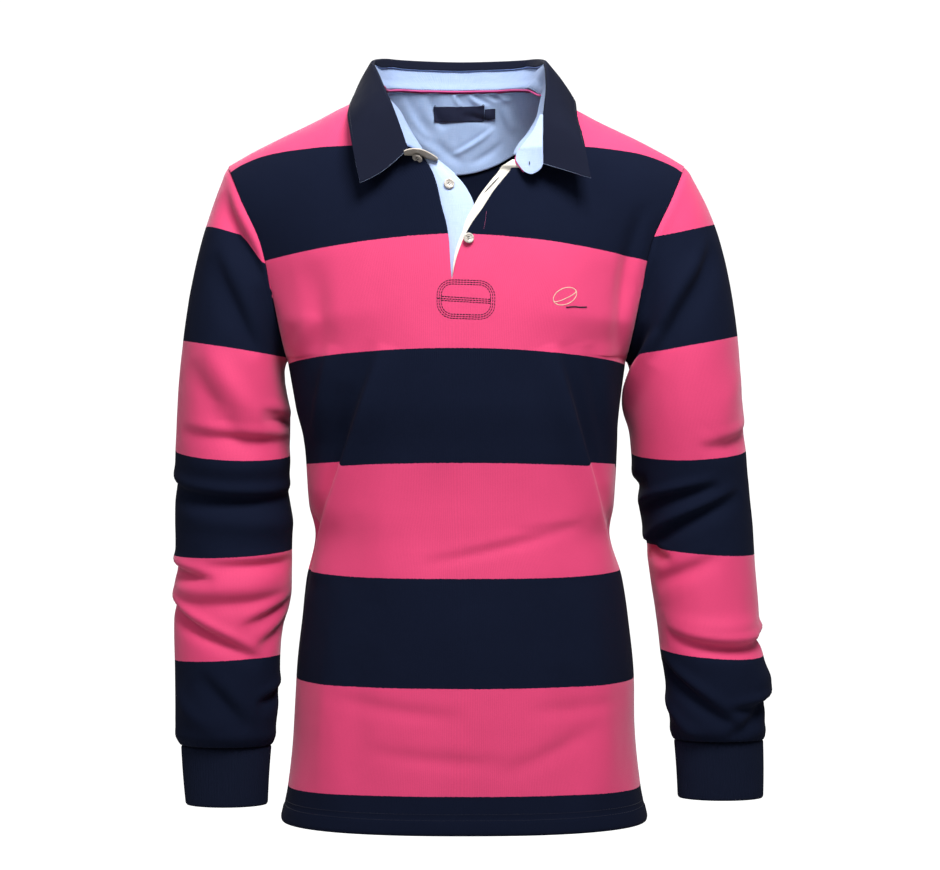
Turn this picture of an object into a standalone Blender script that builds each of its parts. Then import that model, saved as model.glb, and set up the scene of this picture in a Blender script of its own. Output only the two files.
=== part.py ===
"""Long-sleeved rugby shirt, filled out as it is when worn, with nobody inside.

Metres, +Z up. The front faces -Y and the wearer's left arm is at +X. The origin is
the middle of the neck opening, level with the high points of the shoulders.

Every panel is a cloth wall along rows worked out from the tables below. A table has
a named column for each size and a row for each section, and smooth() reads between
its rows. Two ring coordinates serve the whole body: "across", from -1 at one side
to 1 at the other, and "rise", from 0 at the armpit to 1 at the shoulder ridge.
"""

import math
from collections import namedtuple

import bmesh
import bpy
from mathutils import Vector
from mathutils.bvhtree import BVHTree

MM = 0.001

# Cloth and seams
JERSEY_WALL = 1.8 * MM
RIB_WALL = 2.2 * MM
COLLAR_WALL = 1.6 * MM
LINING_WALL = 1.2 * MM
SEAM_GAP = 0.3 * MM

# Heights of the body
HEM_Z = -0.748
ARMPIT_Z = -0.272
SLIT_Z = -0.199
VENT_TOP_Z = -0.700
VENT_GAP = 5.0 * MM
HEM_CALM = 0.030
NECK_HALF_WIDTH = 0.080

# Body rings from hem to armpit; front and back are half depths
Section = namedtuple("Section", "z half_width front back lean")
BODY = (
    Section(-0.748, 0.1900, 0.120, 0.117, 0.001),
    Section(-0.715, 0.1830, 0.119, 0.114, 0.001),
    Section(-0.655, 0.1770, 0.118, 0.108, 0.001),
    Section(-0.598, 0.1750, 0.117, 0.102, 0.002),
    Section(-0.540, 0.1690, 0.115, 0.097, 0.002),
    Section(-0.500, 0.1640, 0.113, 0.094, 0.001),
    Section(-0.452, 0.1530, 0.111, 0.092, -0.001),
    Section(-0.423, 0.1580, 0.111, 0.093, -0.002),
    Section(-0.364, 0.1610, 0.115, 0.104, -0.003),
    Section(-0.320, 0.1680, 0.119, 0.110, -0.005),
    Section(-0.272, 0.1755, 0.121, 0.113, -0.007),
)
RING_POWER = 2.4
PROFILE_POWER = 2.2
UPPER_LEAN = -0.007

# Shoulder ridge: its height at a distance from the middle; inside the neck
# opening it is the line that the cloth would follow up the neck
Ridge = namedtuple("Ridge", "x z")
RIDGE = (
    Ridge(0.000, 0.093),
    Ridge(0.040, 0.072),
    Ridge(0.060, 0.045),
    Ridge(0.080, 0.014),
    Ridge(0.100, -0.001),
    Ridge(0.125, -0.0143),
    Ridge(0.153, -0.029),
    Ridge(0.184, -0.0435),
    Ridge(0.212, -0.058),
    Ridge(0.240, -0.0735),
)

# Armhole seam: half width of the body at each rise, and its furthest depth
Armhole = namedtuple("Armhole", "rise half_width")
ARMHOLE = (
    Armhole(0.00, 0.1755),
    Armhole(0.25, 0.1850),
    Armhole(0.50, 0.1960),
    Armhole(0.75, 0.2170),
    Armhole(1.00, 0.2360),
)
ARMHOLE_FRONT = 0.066
ARMHOLE_BACK = 0.074
ARMHOLE_MIDDLE = Vector((0.205, 0.0, -0.175))
ARMHOLE_OUT = Vector((0.957, 0.0, -0.290))

# Front opening, from the foot of the slit (height 0) to the shoulder (height 1)
Opening = namedtuple("Opening", "height left right")
OPENING = (
    Opening(0.00, -0.004, -0.004),
    Opening(0.14, -0.006, 0.004),
    Opening(0.27, -0.013, 0.019),
    Opening(0.36, -0.020, 0.038),
    Opening(0.46, -0.032, 0.055),
    Opening(0.56, -0.046, 0.062),
    Opening(0.70, -0.061, 0.070),
    Opening(0.86, -0.074, 0.078),
    Opening(1.00, -0.081, 0.083),
)
SLIT_SHIFT = -0.004
TOP_HEIGHT = 0.999
NECK_START = 0.43

# Back neckline: rise of the back panel's top at each distance from the middle
BackNeck = namedtuple("BackNeck", "x rise")
BACK_NECK = (
    BackNeck(0.000, 0.800),
    BackNeck(0.040, 0.847),
    BackNeck(0.060, 0.915),
    BackNeck(0.074, 0.975),
    BackNeck(0.082, 1.000),
)

# Sleeves below the cap; x runs outward from the middle of the body
SleeveRing = namedtuple("SleeveRing", "z x y half_width half_depth")
SLEEVE_RIGHT = (
    SleeveRing(-0.335, 0.2390, 0.004, 0.0590, 0.068),
    SleeveRing(-0.395, 0.2415, 0.010, 0.0595, 0.064),
    SleeveRing(-0.450, 0.2405, 0.012, 0.0610, 0.061),
    SleeveRing(-0.510, 0.2405, 0.008, 0.0610, 0.058),
    SleeveRing(-0.568, 0.2450, 0.002, 0.0555, 0.053),
    SleeveRing(-0.627, 0.2455, -0.004, 0.0535, 0.047),
    SleeveRing(-0.655, 0.2465, -0.006, 0.0515, 0.042),
    SleeveRing(-0.672, 0.2460, -0.007, 0.0480, 0.034),
)
SLEEVE_LEFT = (
    SleeveRing(-0.335, 0.2320, 0.004, 0.0600, 0.068),
    SleeveRing(-0.395, 0.2380, 0.010, 0.0595, 0.064),
    SleeveRing(-0.450, 0.2460, 0.012, 0.0570, 0.061),
    SleeveRing(-0.510, 0.2520, 0.008, 0.0545, 0.058),
    SleeveRing(-0.568, 0.2575, 0.002, 0.0530, 0.053),
    SleeveRing(-0.620, 0.2640, -0.004, 0.0530, 0.047),
    SleeveRing(-0.648, 0.2640, -0.006, 0.0490, 0.042),
    SleeveRing(-0.666, 0.2650, -0.007, 0.0475, 0.034),
)
CAP_RUN_RIGHT = Vector((0.112, 0.0, -0.240))
CAP_RUN_LEFT = Vector((0.165, 0.0, -0.235))
UNDERARM_RUN = Vector((0.030, 0.0, -0.050))
SLEEVE_RADIUS = 0.060
SLEEVE_CALM = 0.020

# Cuffs
Cuff = namedtuple("Cuff", "x z bottom_x half_width bottom_half_width half_depth height")
CUFF_RIGHT = Cuff(0.2460, -0.6725, 0.2455, 0.0468, 0.0425, 0.029, 0.061)
CUFF_LEFT = Cuff(0.2650, -0.6665, 0.2670, 0.0462, 0.0443, 0.029, 0.060)
CUFF_Y = -0.007
CUFF_RIBS = 52
RIB_RISE = 0.7 * MM

# Collar: station 0 is the front end at -X, 1 the front end at +X. The fold is where
# the leaf turns over, and the edge is the leaf's lower edge.
Collar = namedtuple("Collar", "station fold edge")
Spot = namedtuple("Spot", "station x y z")
COLLAR = (
    Collar(0.000, (-0.057, -0.112, -0.063), (-0.104, -0.119, -0.100)),
    Collar(0.120, (-0.072, -0.098, -0.024), (-0.1145, -0.104, -0.056)),
    Collar(0.220, (-0.082, -0.056, 0.010), (-0.1215, -0.060, -0.024)),
    Collar(0.320, (-0.090, -0.004, 0.038), (-0.1215, 0.002, -0.001)),
    Collar(0.410, (-0.074, 0.055, 0.051), (-0.0980, 0.084, 0.006)),
    Collar(0.500, (-0.002, 0.080, 0.054), (-0.0020, 0.116, 0.006)),
    Collar(0.590, (0.071, 0.055, 0.051), (0.0950, 0.084, 0.006)),
    Collar(0.680, (0.086, -0.004, 0.038), (0.1180, 0.002, -0.001)),
    Collar(0.780, (0.0855, -0.056, 0.006), (0.1240, -0.060, -0.030)),
    Collar(0.880, (0.0810, -0.098, -0.040), (0.1265, -0.104, -0.064)),
    Collar(1.000, (0.0800, -0.112, -0.079), (0.1270, -0.119, -0.096)),
)

STAND_LIFT = 1.2 * MM
ROLL_RADIUS = 2.6 * MM
ROLL_BACK = 11.0 * MM
ROLL_FRONT = 4.0 * MM
LEAF_BOW = 0.07
LEAF_TURN_LEAST = math.radians(40)
LEAF_TURN_MOST = math.radians(143)

# Folds of the body cloth: a line from one end to the other, its half width and how
# far it stands out (negative sinks in)
Fold = namedtuple("Fold", "face x0 z0 x1 z1 width depth")
FOLDS = (
    Fold("front", -0.086, -0.290, -0.118, -0.378, 0.017, 0.009),
    Fold("front", -0.118, -0.378, -0.150, -0.465, 0.016, 0.010),
    Fold("front", -0.142, -0.290, -0.156, -0.360, 0.014, -0.007),
    Fold("front", 0.102, -0.295, 0.122, -0.380, 0.017, 0.009),
    Fold("front", 0.122, -0.380, 0.146, -0.460, 0.016, 0.010),
    Fold("front", 0.186, -0.130, 0.160, -0.200, 0.013, 0.007),
    Fold("front", -0.080, -0.640, 0.020, -0.662, 0.014, -0.004),
    Fold("back", -0.110, -0.330, -0.050, -0.470, 0.020, 0.009),
    Fold("back", 0.115, -0.320, 0.060, -0.460, 0.020, 0.009),
    Fold("back", -0.010, -0.420, -0.020, -0.580, 0.018, 0.007),
    Fold("back", -0.070, -0.455, 0.060, -0.465, 0.016, -0.006),
    Fold("back", 0.080, -0.520, 0.105, -0.680, 0.020, 0.007),
    Fold("back", -0.100, -0.540, -0.120, -0.690, 0.020, 0.006),
)

# Folds of the sleeves: angle 0 is the outer side, 90 the front, 180 the inner side
SleeveFold = namedtuple("SleeveFold", "side angle0 z0 angle1 z1 width depth")
SLEEVE_FOLDS = (
    SleeveFold(-1, 60, -0.185, 120, -0.245, 0.010, -0.005),
    SleeveFold(-1, 70, -0.385, 175, -0.400, 0.010, -0.005),
    SleeveFold(-1, 15, -0.425, 170, -0.425, 0.010, -0.005),
    SleeveFold(-1, 20, -0.535, 115, -0.580, 0.009, -0.004),
    SleeveFold(-1, -10, -0.520, 40, -0.500, 0.009, -0.004),
    SleeveFold(-1, 200, -0.420, 300, -0.450, 0.011, -0.005),
    SleeveFold(-1, 220, -0.560, 310, -0.600, 0.010, -0.004),
    SleeveFold(1, 60, -0.190, 140, -0.255, 0.010, -0.005),
    SleeveFold(1, 150, -0.425, 75, -0.410, 0.010, -0.005),
    SleeveFold(1, 130, -0.460, 45, -0.412, 0.010, -0.005),
    SleeveFold(1, 85, -0.560, 20, -0.580, 0.009, -0.004),
    SleeveFold(1, 110, -0.605, 50, -0.645, 0.009, -0.004),
    SleeveFold(1, 200, -0.420, 300, -0.450, 0.011, -0.005),
    SleeveFold(1, 220, -0.560, 310, -0.600, 0.010, -0.004),
)

# Neck lining, label and piping inside the back
LINING_HALF_WIDTH = 0.074
LINING_LOW_Z = -0.0645
LINING_SIDE_Z = -0.030
LINING_TOP_DROP = 2.0 * MM
LINING_EASE = 1.0 * MM
LABEL_WALL = 0.8 * MM
PIPING_RADIUS = 1.0 * MM
PIPING_RISE = 3.4 * MM
PIPING_DEPTH = 4.4 * MM
PIPING_START = 0.22
PIPING_END = 0.90

# Facings of the front opening
PLACKET_WALL = 1.2 * MM
PLACKET_FOOT_Z = -0.236
PLACKET_EASE = 2.0 * MM

# Buttons
BUTTON_RADIUS = 5.6 * MM
BUTTON_THICKNESS = 2.4 * MM
BUTTON_BEVEL = 0.5 * MM

# Fineness of the rows
HALF_COLUMNS = 14
BODY_ROWS = 14
CHEST_ROWS = 4
YOKE_ROWS = 9
BACK_ROWS = 12
CAP_ROWS = 6
SLEEVE_ROWS = 14
COLLAR_COLUMNS = 32
STAND_ROWS = 3
ROLL_STEPS = 3
LEAF_ROWS = 4
LINING_COLUMNS = 14
LINING_ROWS = 5
PIPING_POINTS = 28
PLACKET_ROWS = 12
BUTTON_SIDES = 20

# Colours: red, green, blue, roughness
NAVY = (0.010, 0.013, 0.030, 0.85)
PINK = (0.800, 0.075, 0.200, 0.85)
LIGHT_BLUE = (0.400, 0.580, 0.800, 0.80)
CREAM = (0.830, 0.780, 0.680, 0.80)
PEARL = (0.480, 0.440, 0.400, 0.35)


def clear_scene():
    for thing in list(bpy.data.objects):
        bpy.data.objects.remove(thing, do_unlink=True)


def slopes(keys, values):
    """Slope of a smooth line at each of its points, flat at turning points."""
    steps = [(values[i + 1] - values[i]) / (keys[i + 1] - keys[i]) for i in range(len(keys) - 1)]
    inner = []
    for before, after in zip(steps, steps[1:]):
        inner.append(2 * before * after / (before + after) if before * after > 0 else 0.0)
    return [steps[0]] + inner + [steps[-1]]


def smooth(table, column, at):
    """Value of a column where the table's first column is `at`."""
    rows = sorted(table, key=lambda row: row[0])
    keys = [row[0] for row in rows]
    values = [getattr(row, column) for row in rows]
    at = min(max(at, keys[0]), keys[-1])
    grades = slopes(keys, values)
    i = 0
    while i < len(keys) - 2 and at > keys[i + 1]:
        i += 1
    span = keys[i + 1] - keys[i]
    t = (at - keys[i]) / span
    return (
        (1 + 2 * t) * (1 - t) ** 2 * values[i]
        + t * (1 - t) ** 2 * span * grades[i]
        + t * t * (3 - 2 * t) * values[i + 1]
        + t * t * (t - 1) * span * grades[i + 1]
    )


def smooth_step(t):
    t = min(max(t, 0.0), 1.0)
    return t * t * (3 - 2 * t)


def fold_lift(folds, along, up, is_here):
    """How far the folds near a point push the cloth out."""
    lift = 0.0
    for fold in folds:
        if not is_here(fold):
            continue
        start_along, start_up, end_along, end_up = fold[1:5]
        run = Vector((end_along - start_along, end_up - start_up))
        place = Vector((along - start_along, up - start_up))
        share = min(max(place.dot(run) / run.length_squared, 0.0), 1.0)
        distance = (place - run * share).length
        lift += fold.depth * math.exp(-((distance / fold.width) ** 2))
    return lift


def across_at(turn):
    """Place across the body (-1 to 1) and its fullness for a turn of -1 to 1."""
    angle = turn * math.pi / 2
    power = 2 / RING_POWER
    across = math.copysign(abs(math.sin(angle)) ** power, turn)
    return across, abs(math.cos(angle)) ** power


def face_sign(face):
    return -1 if face == "front" else 1


def body_point(face, turn, z):
    """Point of the body below the armpits."""
    across, fullness = across_at(turn)
    half_width = smooth(BODY, "half_width", z)
    depth = smooth(BODY, face, z)
    lean = smooth(BODY, "lean", z)
    shift = SLIT_SHIFT * (1 - abs(across)) if face == "front" else 0.0
    x = half_width * across + shift
    lift = fold_lift(FOLDS, x, z, lambda fold: fold.face == face)
    calm = min((z - HEM_Z) / HEM_CALM, 1.0)
    depth += lift * calm * fullness
    return Vector((x + lean, face_sign(face) * depth * fullness, z))


def ridge_z(x):
    return smooth(RIDGE, "z", abs(x))


def armhole_depth(face, rise):
    furthest = ARMHOLE_FRONT if face == "front" else ARMHOLE_BACK
    return furthest * 2 * math.sqrt(max(rise * (1 - rise), 0.0))


def yoke_point(face, x, z):
    """Point of the body above the armpits, from its place seen from the front."""
    ridge = ridge_z(x)
    rise = min(max((z - ARMPIT_Z) / (ridge - ARMPIT_Z), 0.0), 1.0)
    half_width = smooth(ARMHOLE, "half_width", rise)
    across = min(abs(x) / half_width, 1.0)
    round_side = (1 - across**RING_POWER) ** (1 / RING_POWER)
    flat_side = 1 - across**3
    fullness = round_side + (flat_side - round_side) * smooth_step(rise / 0.35)
    chest = smooth(BODY, face, ARMPIT_Z) * (1 - rise**PROFILE_POWER) ** (1 / PROFILE_POWER)
    edge = armhole_depth(face, rise)
    depth = edge + (chest - edge) * fullness
    lift = fold_lift(FOLDS, x, z, lambda fold: fold.face == face)
    depth += lift * (1 - across**4) * (1 - rise**4)
    return Vector((x + UPPER_LEAN, face_sign(face) * depth, z))


def rise_point(face, turn, rise):
    """Point of a full-width row above the armpits, from its turn and rise."""
    across, _ = across_at(turn)
    half_width = smooth(ARMHOLE, "half_width", rise)
    shift = SLIT_SHIFT * (1 - abs(across)) if face == "front" else 0.0
    x = half_width * across + shift
    z = ARMPIT_Z + (ridge_z(x) - ARMPIT_Z) * rise
    return yoke_point(face, x, z)


def armhole_point(face, side, rise):
    """Point of the armhole seam."""
    half_width = smooth(ARMHOLE, "half_width", rise)
    z = ARMPIT_Z + (ridge_z(half_width) - ARMPIT_Z) * rise
    y = face_sign(face) * armhole_depth(face, rise)
    return Vector((side * half_width + UPPER_LEAN, y, z))


def turns():
    return [j / HALF_COLUMNS - 1 for j in range(2 * HALF_COLUMNS + 1)]


def body_rows(face):
    """Rows from the hem to just below the armpits, with the vents at the sides."""
    rows = []
    for i in range(BODY_ROWS + 1):
        share = i / BODY_ROWS
        z = HEM_Z + (ARMPIT_Z - HEM_Z) * share
        row = [body_point(face, turn, z) for turn in turns()]
        open_vent = VENT_GAP * smooth_step((VENT_TOP_Z - z) / (VENT_TOP_Z - HEM_Z))
        for end in (row[0], row[-1]):
            end.y += face_sign(face) * (SEAM_GAP / 2 + open_vent / 2)
        rows.append(row)
    return rows


def part_seam(row, face):
    """Points on the seam between front and back keep half its gap."""
    for point in row:
        point.y += face_sign(face) * SEAM_GAP / 2
    return row


def slit_rise():
    return (SLIT_Z - ARMPIT_Z) / (ridge_z(0.0) - ARMPIT_Z)


def rise_at(climb):
    """Rise of the armhole seam at a climb of 0 (armpit) to pi (shoulder) round it."""
    return (1 - math.cos(climb)) / 2


def front_climbs():
    """Climbs of the front panel's rows round the armhole: chest, then yoke."""
    slit = math.acos(1 - 2 * slit_rise())
    chest = [slit * i / CHEST_ROWS for i in range(CHEST_ROWS + 1)]
    yoke = [slit + (math.pi - slit) * i / YOKE_ROWS for i in range(1, YOKE_ROWS + 1)]
    return chest, yoke


def back_climbs():
    return [math.pi * i / BACK_ROWS for i in range(BACK_ROWS + 1)]


def front_rows():
    """Rows of the front panel: whole up to the slit, then a half on each side."""
    whole = body_rows("front")
    chest, yoke = front_climbs()
    for climb in chest[1:]:
        whole.append([rise_point("front", turn, rise_at(climb)) for turn in turns()])
    halves = {-1: [whole[-1][: HALF_COLUMNS + 1]], 1: [whole[-1][HALF_COLUMNS:]]}
    for climb in yoke:
        for side in (-1, 1):
            halves[side].append(front_half_row(side, rise_at(climb)))
    return whole, halves


def front_half_row(side, rise):
    """A row from the armhole to the opening, in order of x."""
    height = (rise - slit_rise()) / (1 - slit_rise())
    outer = side * smooth(ARMHOLE, "half_width", rise)
    inner = smooth(OPENING, "left" if side < 0 else "right", height)
    row = []
    for j in range(HALF_COLUMNS + 1):
        across, _ = across_at(1 - j / HALF_COLUMNS)
        x = inner + (outer - inner) * across
        foot = ARMPIT_Z + (ridge_z(x) - ARMPIT_Z) * slit_rise()
        z = foot + (ridge_z(x) - foot) * height
        row.append(yoke_point("front", x, z))
    if height > TOP_HEIGHT:
        part_seam(row, "front")
    return row if side < 0 else row[::-1]


def back_rows():
    """Rows of the back panel, up to the neckline and the shoulder ridge."""
    rows = body_rows("back")
    for climb in back_climbs()[1:]:
        row = []
        for turn in turns():
            across, _ = across_at(turn)
            neck_x = across * smooth(ARMHOLE, "half_width", 1.0)
            top = smooth(BACK_NECK, "rise", abs(neck_x))
            row.append(rise_point("back", turn, top * rise_at(climb)))
        rows.append(row)
    part_seam(rows[-1], "back")
    return rows


def neckline():
    """The neck seam from the front end at -X, round the back, to the one at +X."""
    _, halves = front_rows()
    left = [row[-1] for row in halves[-1]]
    right = [row[0] for row in halves[1]]
    _, yoke = front_climbs()
    heights = [(rise_at(climb) - slit_rise()) / (1 - slit_rise()) for climb in yoke]
    first = 1 + min(i for i, height in enumerate(heights) if height > NECK_START)
    back = [point for point in back_rows()[-1] if abs(point.x - UPPER_LEAN) < NECK_HALF_WIDTH]
    return left[first:] + back + right[first:][::-1]


def along(points, share):
    """Point at a share of a line's length."""
    lengths = [(b - a).length for a, b in zip(points, points[1:])]
    left = share * sum(lengths)
    for i, length in enumerate(lengths):
        if left <= length or i == len(lengths) - 1:
            return points[i].lerp(points[i + 1], min(left / length, 1.0))
        left -= length


def make_material(name, colour):
    material = bpy.data.materials.new(name)
    material.use_nodes = True
    shader = material.node_tree.nodes["Principled BSDF"]
    shader.inputs["Base Color"].default_value = (*colour[:3], 1.0)
    shader.inputs["Roughness"].default_value = colour[3]
    shader.inputs["Metallic"].default_value = 0.0
    return material


def add_sheet(mesh, rows, closed=False, flip=False):
    """Loft a sheet through rows of points; closed joins the two ends of each row."""
    grid = [[mesh.verts.new(point) for point in row] for row in rows]
    for lower, upper in zip(grid, grid[1:]):
        count = len(lower)
        for j in range(count if closed else count - 1):
            k = (j + 1) % count
            corners = [lower[j], lower[k], upper[k], upper[j]]
            mesh.faces.new(corners[::-1] if flip else corners)


def thicken(mesh, thickness, inward):
    """Give a sheet its inner side and its rims, square to its seams."""
    outer_verts, outer_faces = list(mesh.verts), list(mesh.faces)
    rims = [edge.link_loops[0] for edge in mesh.edges if edge.is_boundary]
    ends = [(loop.vert, loop.link_loop_next.vert) for loop in rims]
    inner = {vert: mesh.verts.new(vert.co + inward(vert) * thickness) for vert in outer_verts}
    for face in outer_faces:
        first, *others = [inner[vert] for vert in face.verts]
        mesh.faces.new([first] + others[::-1])
    for first, second in ends:
        mesh.faces.new([second, first, inner[first], inner[second]])


def plain_inward(vert):
    return -vert.normal


def seam_inward(vert):
    """Seams between front and back part in the plane y = 0, and the armholes in their own."""
    x, y, z = vert.co
    side = math.copysign(1.0, x - UPPER_LEAN)
    out = abs(x - UPPER_LEAN)
    tiny = 0.01 * MM
    if vert.is_boundary and z > ARMPIT_Z - tiny and out > ARMHOLE[0].half_width - MM:
        on_ridge = abs(y) < SEAM_GAP and ARMHOLE[0].half_width + MM < out < ARMHOLE[-1].half_width - MM
        if not on_ridge:
            return armhole_inward(vert.co, side)
    if vert.is_boundary and abs(y) < VENT_GAP:
        return -Vector((vert.normal.x, 0.0, vert.normal.z)).normalized()
    return -vert.normal


def armhole_inward(point, side):
    middle = Vector((side * ARMHOLE_MIDDLE.x + UPPER_LEAN, 0.0, ARMHOLE_MIDDLE.z))
    out = Vector((side * ARMHOLE_OUT.x, 0.0, ARMHOLE_OUT.z))
    inward = middle - point
    return (inward - out * inward.dot(out)).normalized()


def make_wall(name, sheets, thickness, colour, closed=False, flip=False, inward=plain_inward):
    """A cloth wall along one or more sheets that share their edges."""
    mesh = bmesh.new()
    for rows in sheets:
        add_sheet(mesh, rows, closed, flip)
    bmesh.ops.remove_doubles(mesh, verts=mesh.verts, dist=0.01 * MM)
    mesh.normal_update()
    thicken(mesh, thickness, inward)
    return finish(mesh, name, colour)


def finish(mesh, name, colour):
    """Make a finished mesh into an object of the shirt."""
    data = bpy.data.meshes.new(name)
    mesh.to_mesh(data)
    mesh.free()
    thing = bpy.data.objects.new(name, data)
    shirt().objects.link(thing)
    data.shade_smooth()
    data.materials.append(make_material(name + "_cloth", colour))
    return thing


def shirt():
    found = bpy.data.collections.get("rugby_shirt")
    if found is None:
        found = bpy.data.collections.new("rugby_shirt")
        bpy.context.scene.collection.children.link(found)
    return found


def make_front():
    whole, halves = front_rows()
    sheets = [whole, halves[-1], halves[1]]
    make_wall("front_panel", sheets, JERSEY_WALL, PINK, inward=seam_inward)


def make_back():
    make_wall("back_panel", [back_rows()], JERSEY_WALL, PINK, flip=True, inward=seam_inward)


def ring_point(side, ring, angle):
    """Point of a sleeve ring: angle 0 is outward, a quarter turn is the front."""
    return Vector((
        side * (ring.x + ring.half_width * math.cos(angle)),
        ring.y - ring.half_depth * math.sin(angle),
        ring.z,
    ))


def sleeve_ring(table, z):
    values = [smooth(table, column, z) for column in SleeveRing._fields[1:]]
    return SleeveRing(z, *values)


def armhole_loop_point(side, angle):
    face = "front" if math.sin(angle) > 0 else "back"
    return armhole_point(face, side, (1 + math.cos(angle)) / 2)


def cap_point(side, table, angle, share):
    """Point of the sleeve cap, between the armhole and the first full ring."""
    start = armhole_loop_point(side, angle)
    top = (1 + math.cos(angle)) / 2
    run = UNDERARM_RUN.lerp(CAP_RUN_RIGHT if side < 0 else CAP_RUN_LEFT, top)
    run = Vector((side * run.x, 0.0, run.z))
    start = start + Vector((side * ARMHOLE_OUT.x, 0.0, ARMHOLE_OUT.z)) * 1.5 * SEAM_GAP
    end = ring_point(side, sleeve_ring(table, table[0].z), angle)
    below = ring_point(side, sleeve_ring(table, table[0].z - 0.01), angle)
    finish = (below - end) * (start - end).length * 100
    t = share
    return (
        start * (1 + 2 * t) * (1 - t) ** 2
        + run * t * (1 - t) ** 2
        + end * t * t * (3 - 2 * t)
        + finish * t * t * (t - 1)
    )


def sleeve_rows(side, table):
    chest, yoke = front_climbs()
    angles = [math.pi - climb for climb in reversed(chest + yoke)]
    angles += [math.pi + climb for climb in back_climbs()[1:-1]]
    rows = []
    for i in range(CAP_ROWS):
        rows.append([cap_point(side, table, angle, i / CAP_ROWS) for angle in angles])
    top, bottom = table[0].z, table[-1].z
    for i in range(SLEEVE_ROWS + 1):
        z = top + (bottom - top) * i / SLEEVE_ROWS
        rows.append([ring_point(side, sleeve_ring(table, z), angle) for angle in angles])
    for row in rows:
        for j, angle in enumerate(angles):
            out = Vector((side * math.cos(angle), -math.sin(angle), 0.0))
            turned = math.degrees(angle)
            lift = max(
                (sleeve_lift(side, turned + around, row[j].z) for around in (-360, 0)),
                key=abs,
            )
            calm = smooth_step((row[j].z - bottom) / SLEEVE_CALM)
            row[j] = row[j] + out * lift * calm
    return rows


def sleeve_lift(side, angle, z):
    """Lift of the sleeve's folds, with the angle laid out as a length."""
    degree = math.radians(SLEEVE_RADIUS)
    laid = [
        SleeveFold(fold.side, fold.angle0 * degree, fold.z0, fold.angle1 * degree, fold.z1,
                   fold.width, fold.depth)
        for fold in SLEEVE_FOLDS
    ]
    return fold_lift(laid, angle * degree, z, lambda fold: fold.side == side)


def make_sleeve(name, side, table):
    rows = sleeve_rows(side, table)
    first = {tuple(point) for point in rows[0]}

    def inward(vert):
        return armhole_inward(vert.co, side) if tuple(vert.co) in first else -vert.normal

    make_wall(name, [rows], JERSEY_WALL, NAVY, closed=True, flip=side < 0, inward=inward)


def make_cuff(name, side, cuff):
    """A knitted cuff with its ribs standing out round a plain inside."""
    count = 2 * CUFF_RIBS
    outer, inner = [], []
    for share in (0.0, 0.5, 1.0):
        z = cuff.z - cuff.height * share
        x = cuff.x + (cuff.bottom_x - cuff.x) * share
        half_width = cuff.half_width + (cuff.bottom_half_width - cuff.half_width) * share
        for rows, wall in ((outer, 0.0), (inner, RIB_WALL)):
            row = []
            for j in range(count):
                angle = 2 * math.pi * j / count
                rib = RIB_RISE if j % 2 and wall == 0.0 else 0.0
                row.append(Vector((
                    side * (x + (half_width - wall + rib) * math.cos(angle)),
                    CUFF_Y - (cuff.half_depth - wall + rib) * math.sin(angle),
                    z,
                )))
            rows.append(row)
    loop = outer + inner[::-1] + outer[:1]
    mesh = bmesh.new()
    add_sheet(mesh, loop, closed=True, flip=side < 0)
    bmesh.ops.remove_doubles(mesh, verts=mesh.verts, dist=0.01 * MM)
    finish(mesh, name, NAVY)


def collar_line(column, station):
    """Point of the collar's fold or edge at a station."""
    table = [Spot(row.station, *getattr(row, column)) for row in COLLAR]
    return Vector([smooth(table, axis, station) for axis in "xyz"])


def collar_frame(seam, station):
    """Foot and fold of the collar at a station, with its up, out and leaf directions."""
    fold = collar_line("fold", station)
    edge = collar_line("edge", station)
    foot = along(seam, station)
    if foot.y < 0:
        foot.y -= STAND_LIFT
    ahead = collar_line("fold", min(station + 0.02, 1.0)) - collar_line("fold", max(station - 0.02, 0.0))
    up = (fold - foot).normalized()
    out = up.cross(ahead).normalized()
    return foot, fold, edge, up, out


def make_collar():
    """The stand inside and the leaf, which rolls over the fold and hangs outside."""
    seam = neckline()
    stand, leaf = [], []
    ways = {}
    for j in range(COLLAR_COLUMNS + 1):
        station = j / COLLAR_COLUMNS
        foot, fold, edge, up, out = collar_frame(seam, station)
        roll_depth = ROLL_FRONT + (ROLL_BACK - ROLL_FRONT) * math.sin(math.pi * station)
        low = foot + up * (SEAM_GAP + JERSEY_WALL)
        high = fold - up * (roll_depth + 2 * SEAM_GAP)
        stand.append([low.lerp(high, i / STAND_ROWS) for i in range(STAND_ROWS + 1)])
        leaf.append(leaf_line(fold - out * COLLAR_WALL, edge, up, out, roll_depth))
        ways.update({tuple(point): -out for point in stand[-1]})
        ways.update({tuple(point): out for point in leaf[-1][:2]})

    def inward(vert):
        return ways.get(tuple(vert.co), -vert.normal)

    make_wall("collar_stand", [list(zip(*stand))], COLLAR_WALL, LIGHT_BLUE, flip=True, inward=inward)
    make_wall("collar_leaf", [list(zip(*leaf))], COLLAR_WALL, NAVY, inward=inward)


def leaf_line(fold, edge, up, out, roll_depth):
    """One line down the leaf: inside, over the roll, then out and down to its edge."""
    middle = fold + (out - up) * ROLL_RADIUS
    hang = edge - fold
    turn = min(max(math.atan2(hang.dot(out), hang.dot(up)), LEAF_TURN_LEAST), LEAF_TURN_MOST)
    points = [fold - up * roll_depth]
    for i in range(ROLL_STEPS + 1):
        angle = turn * i / ROLL_STEPS
        points.append(middle + (up * math.sin(angle) - out * math.cos(angle)) * ROLL_RADIUS)
    start = points[-1]
    bulge = (out * math.sin(turn) + up) / 2 * (edge - start).length * LEAF_BOW
    for i in range(1, LEAF_ROWS + 1):
        share = i / LEAF_ROWS
        points.append(start.lerp(edge, share) + bulge * math.sin(math.pi * share))
    return points


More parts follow.
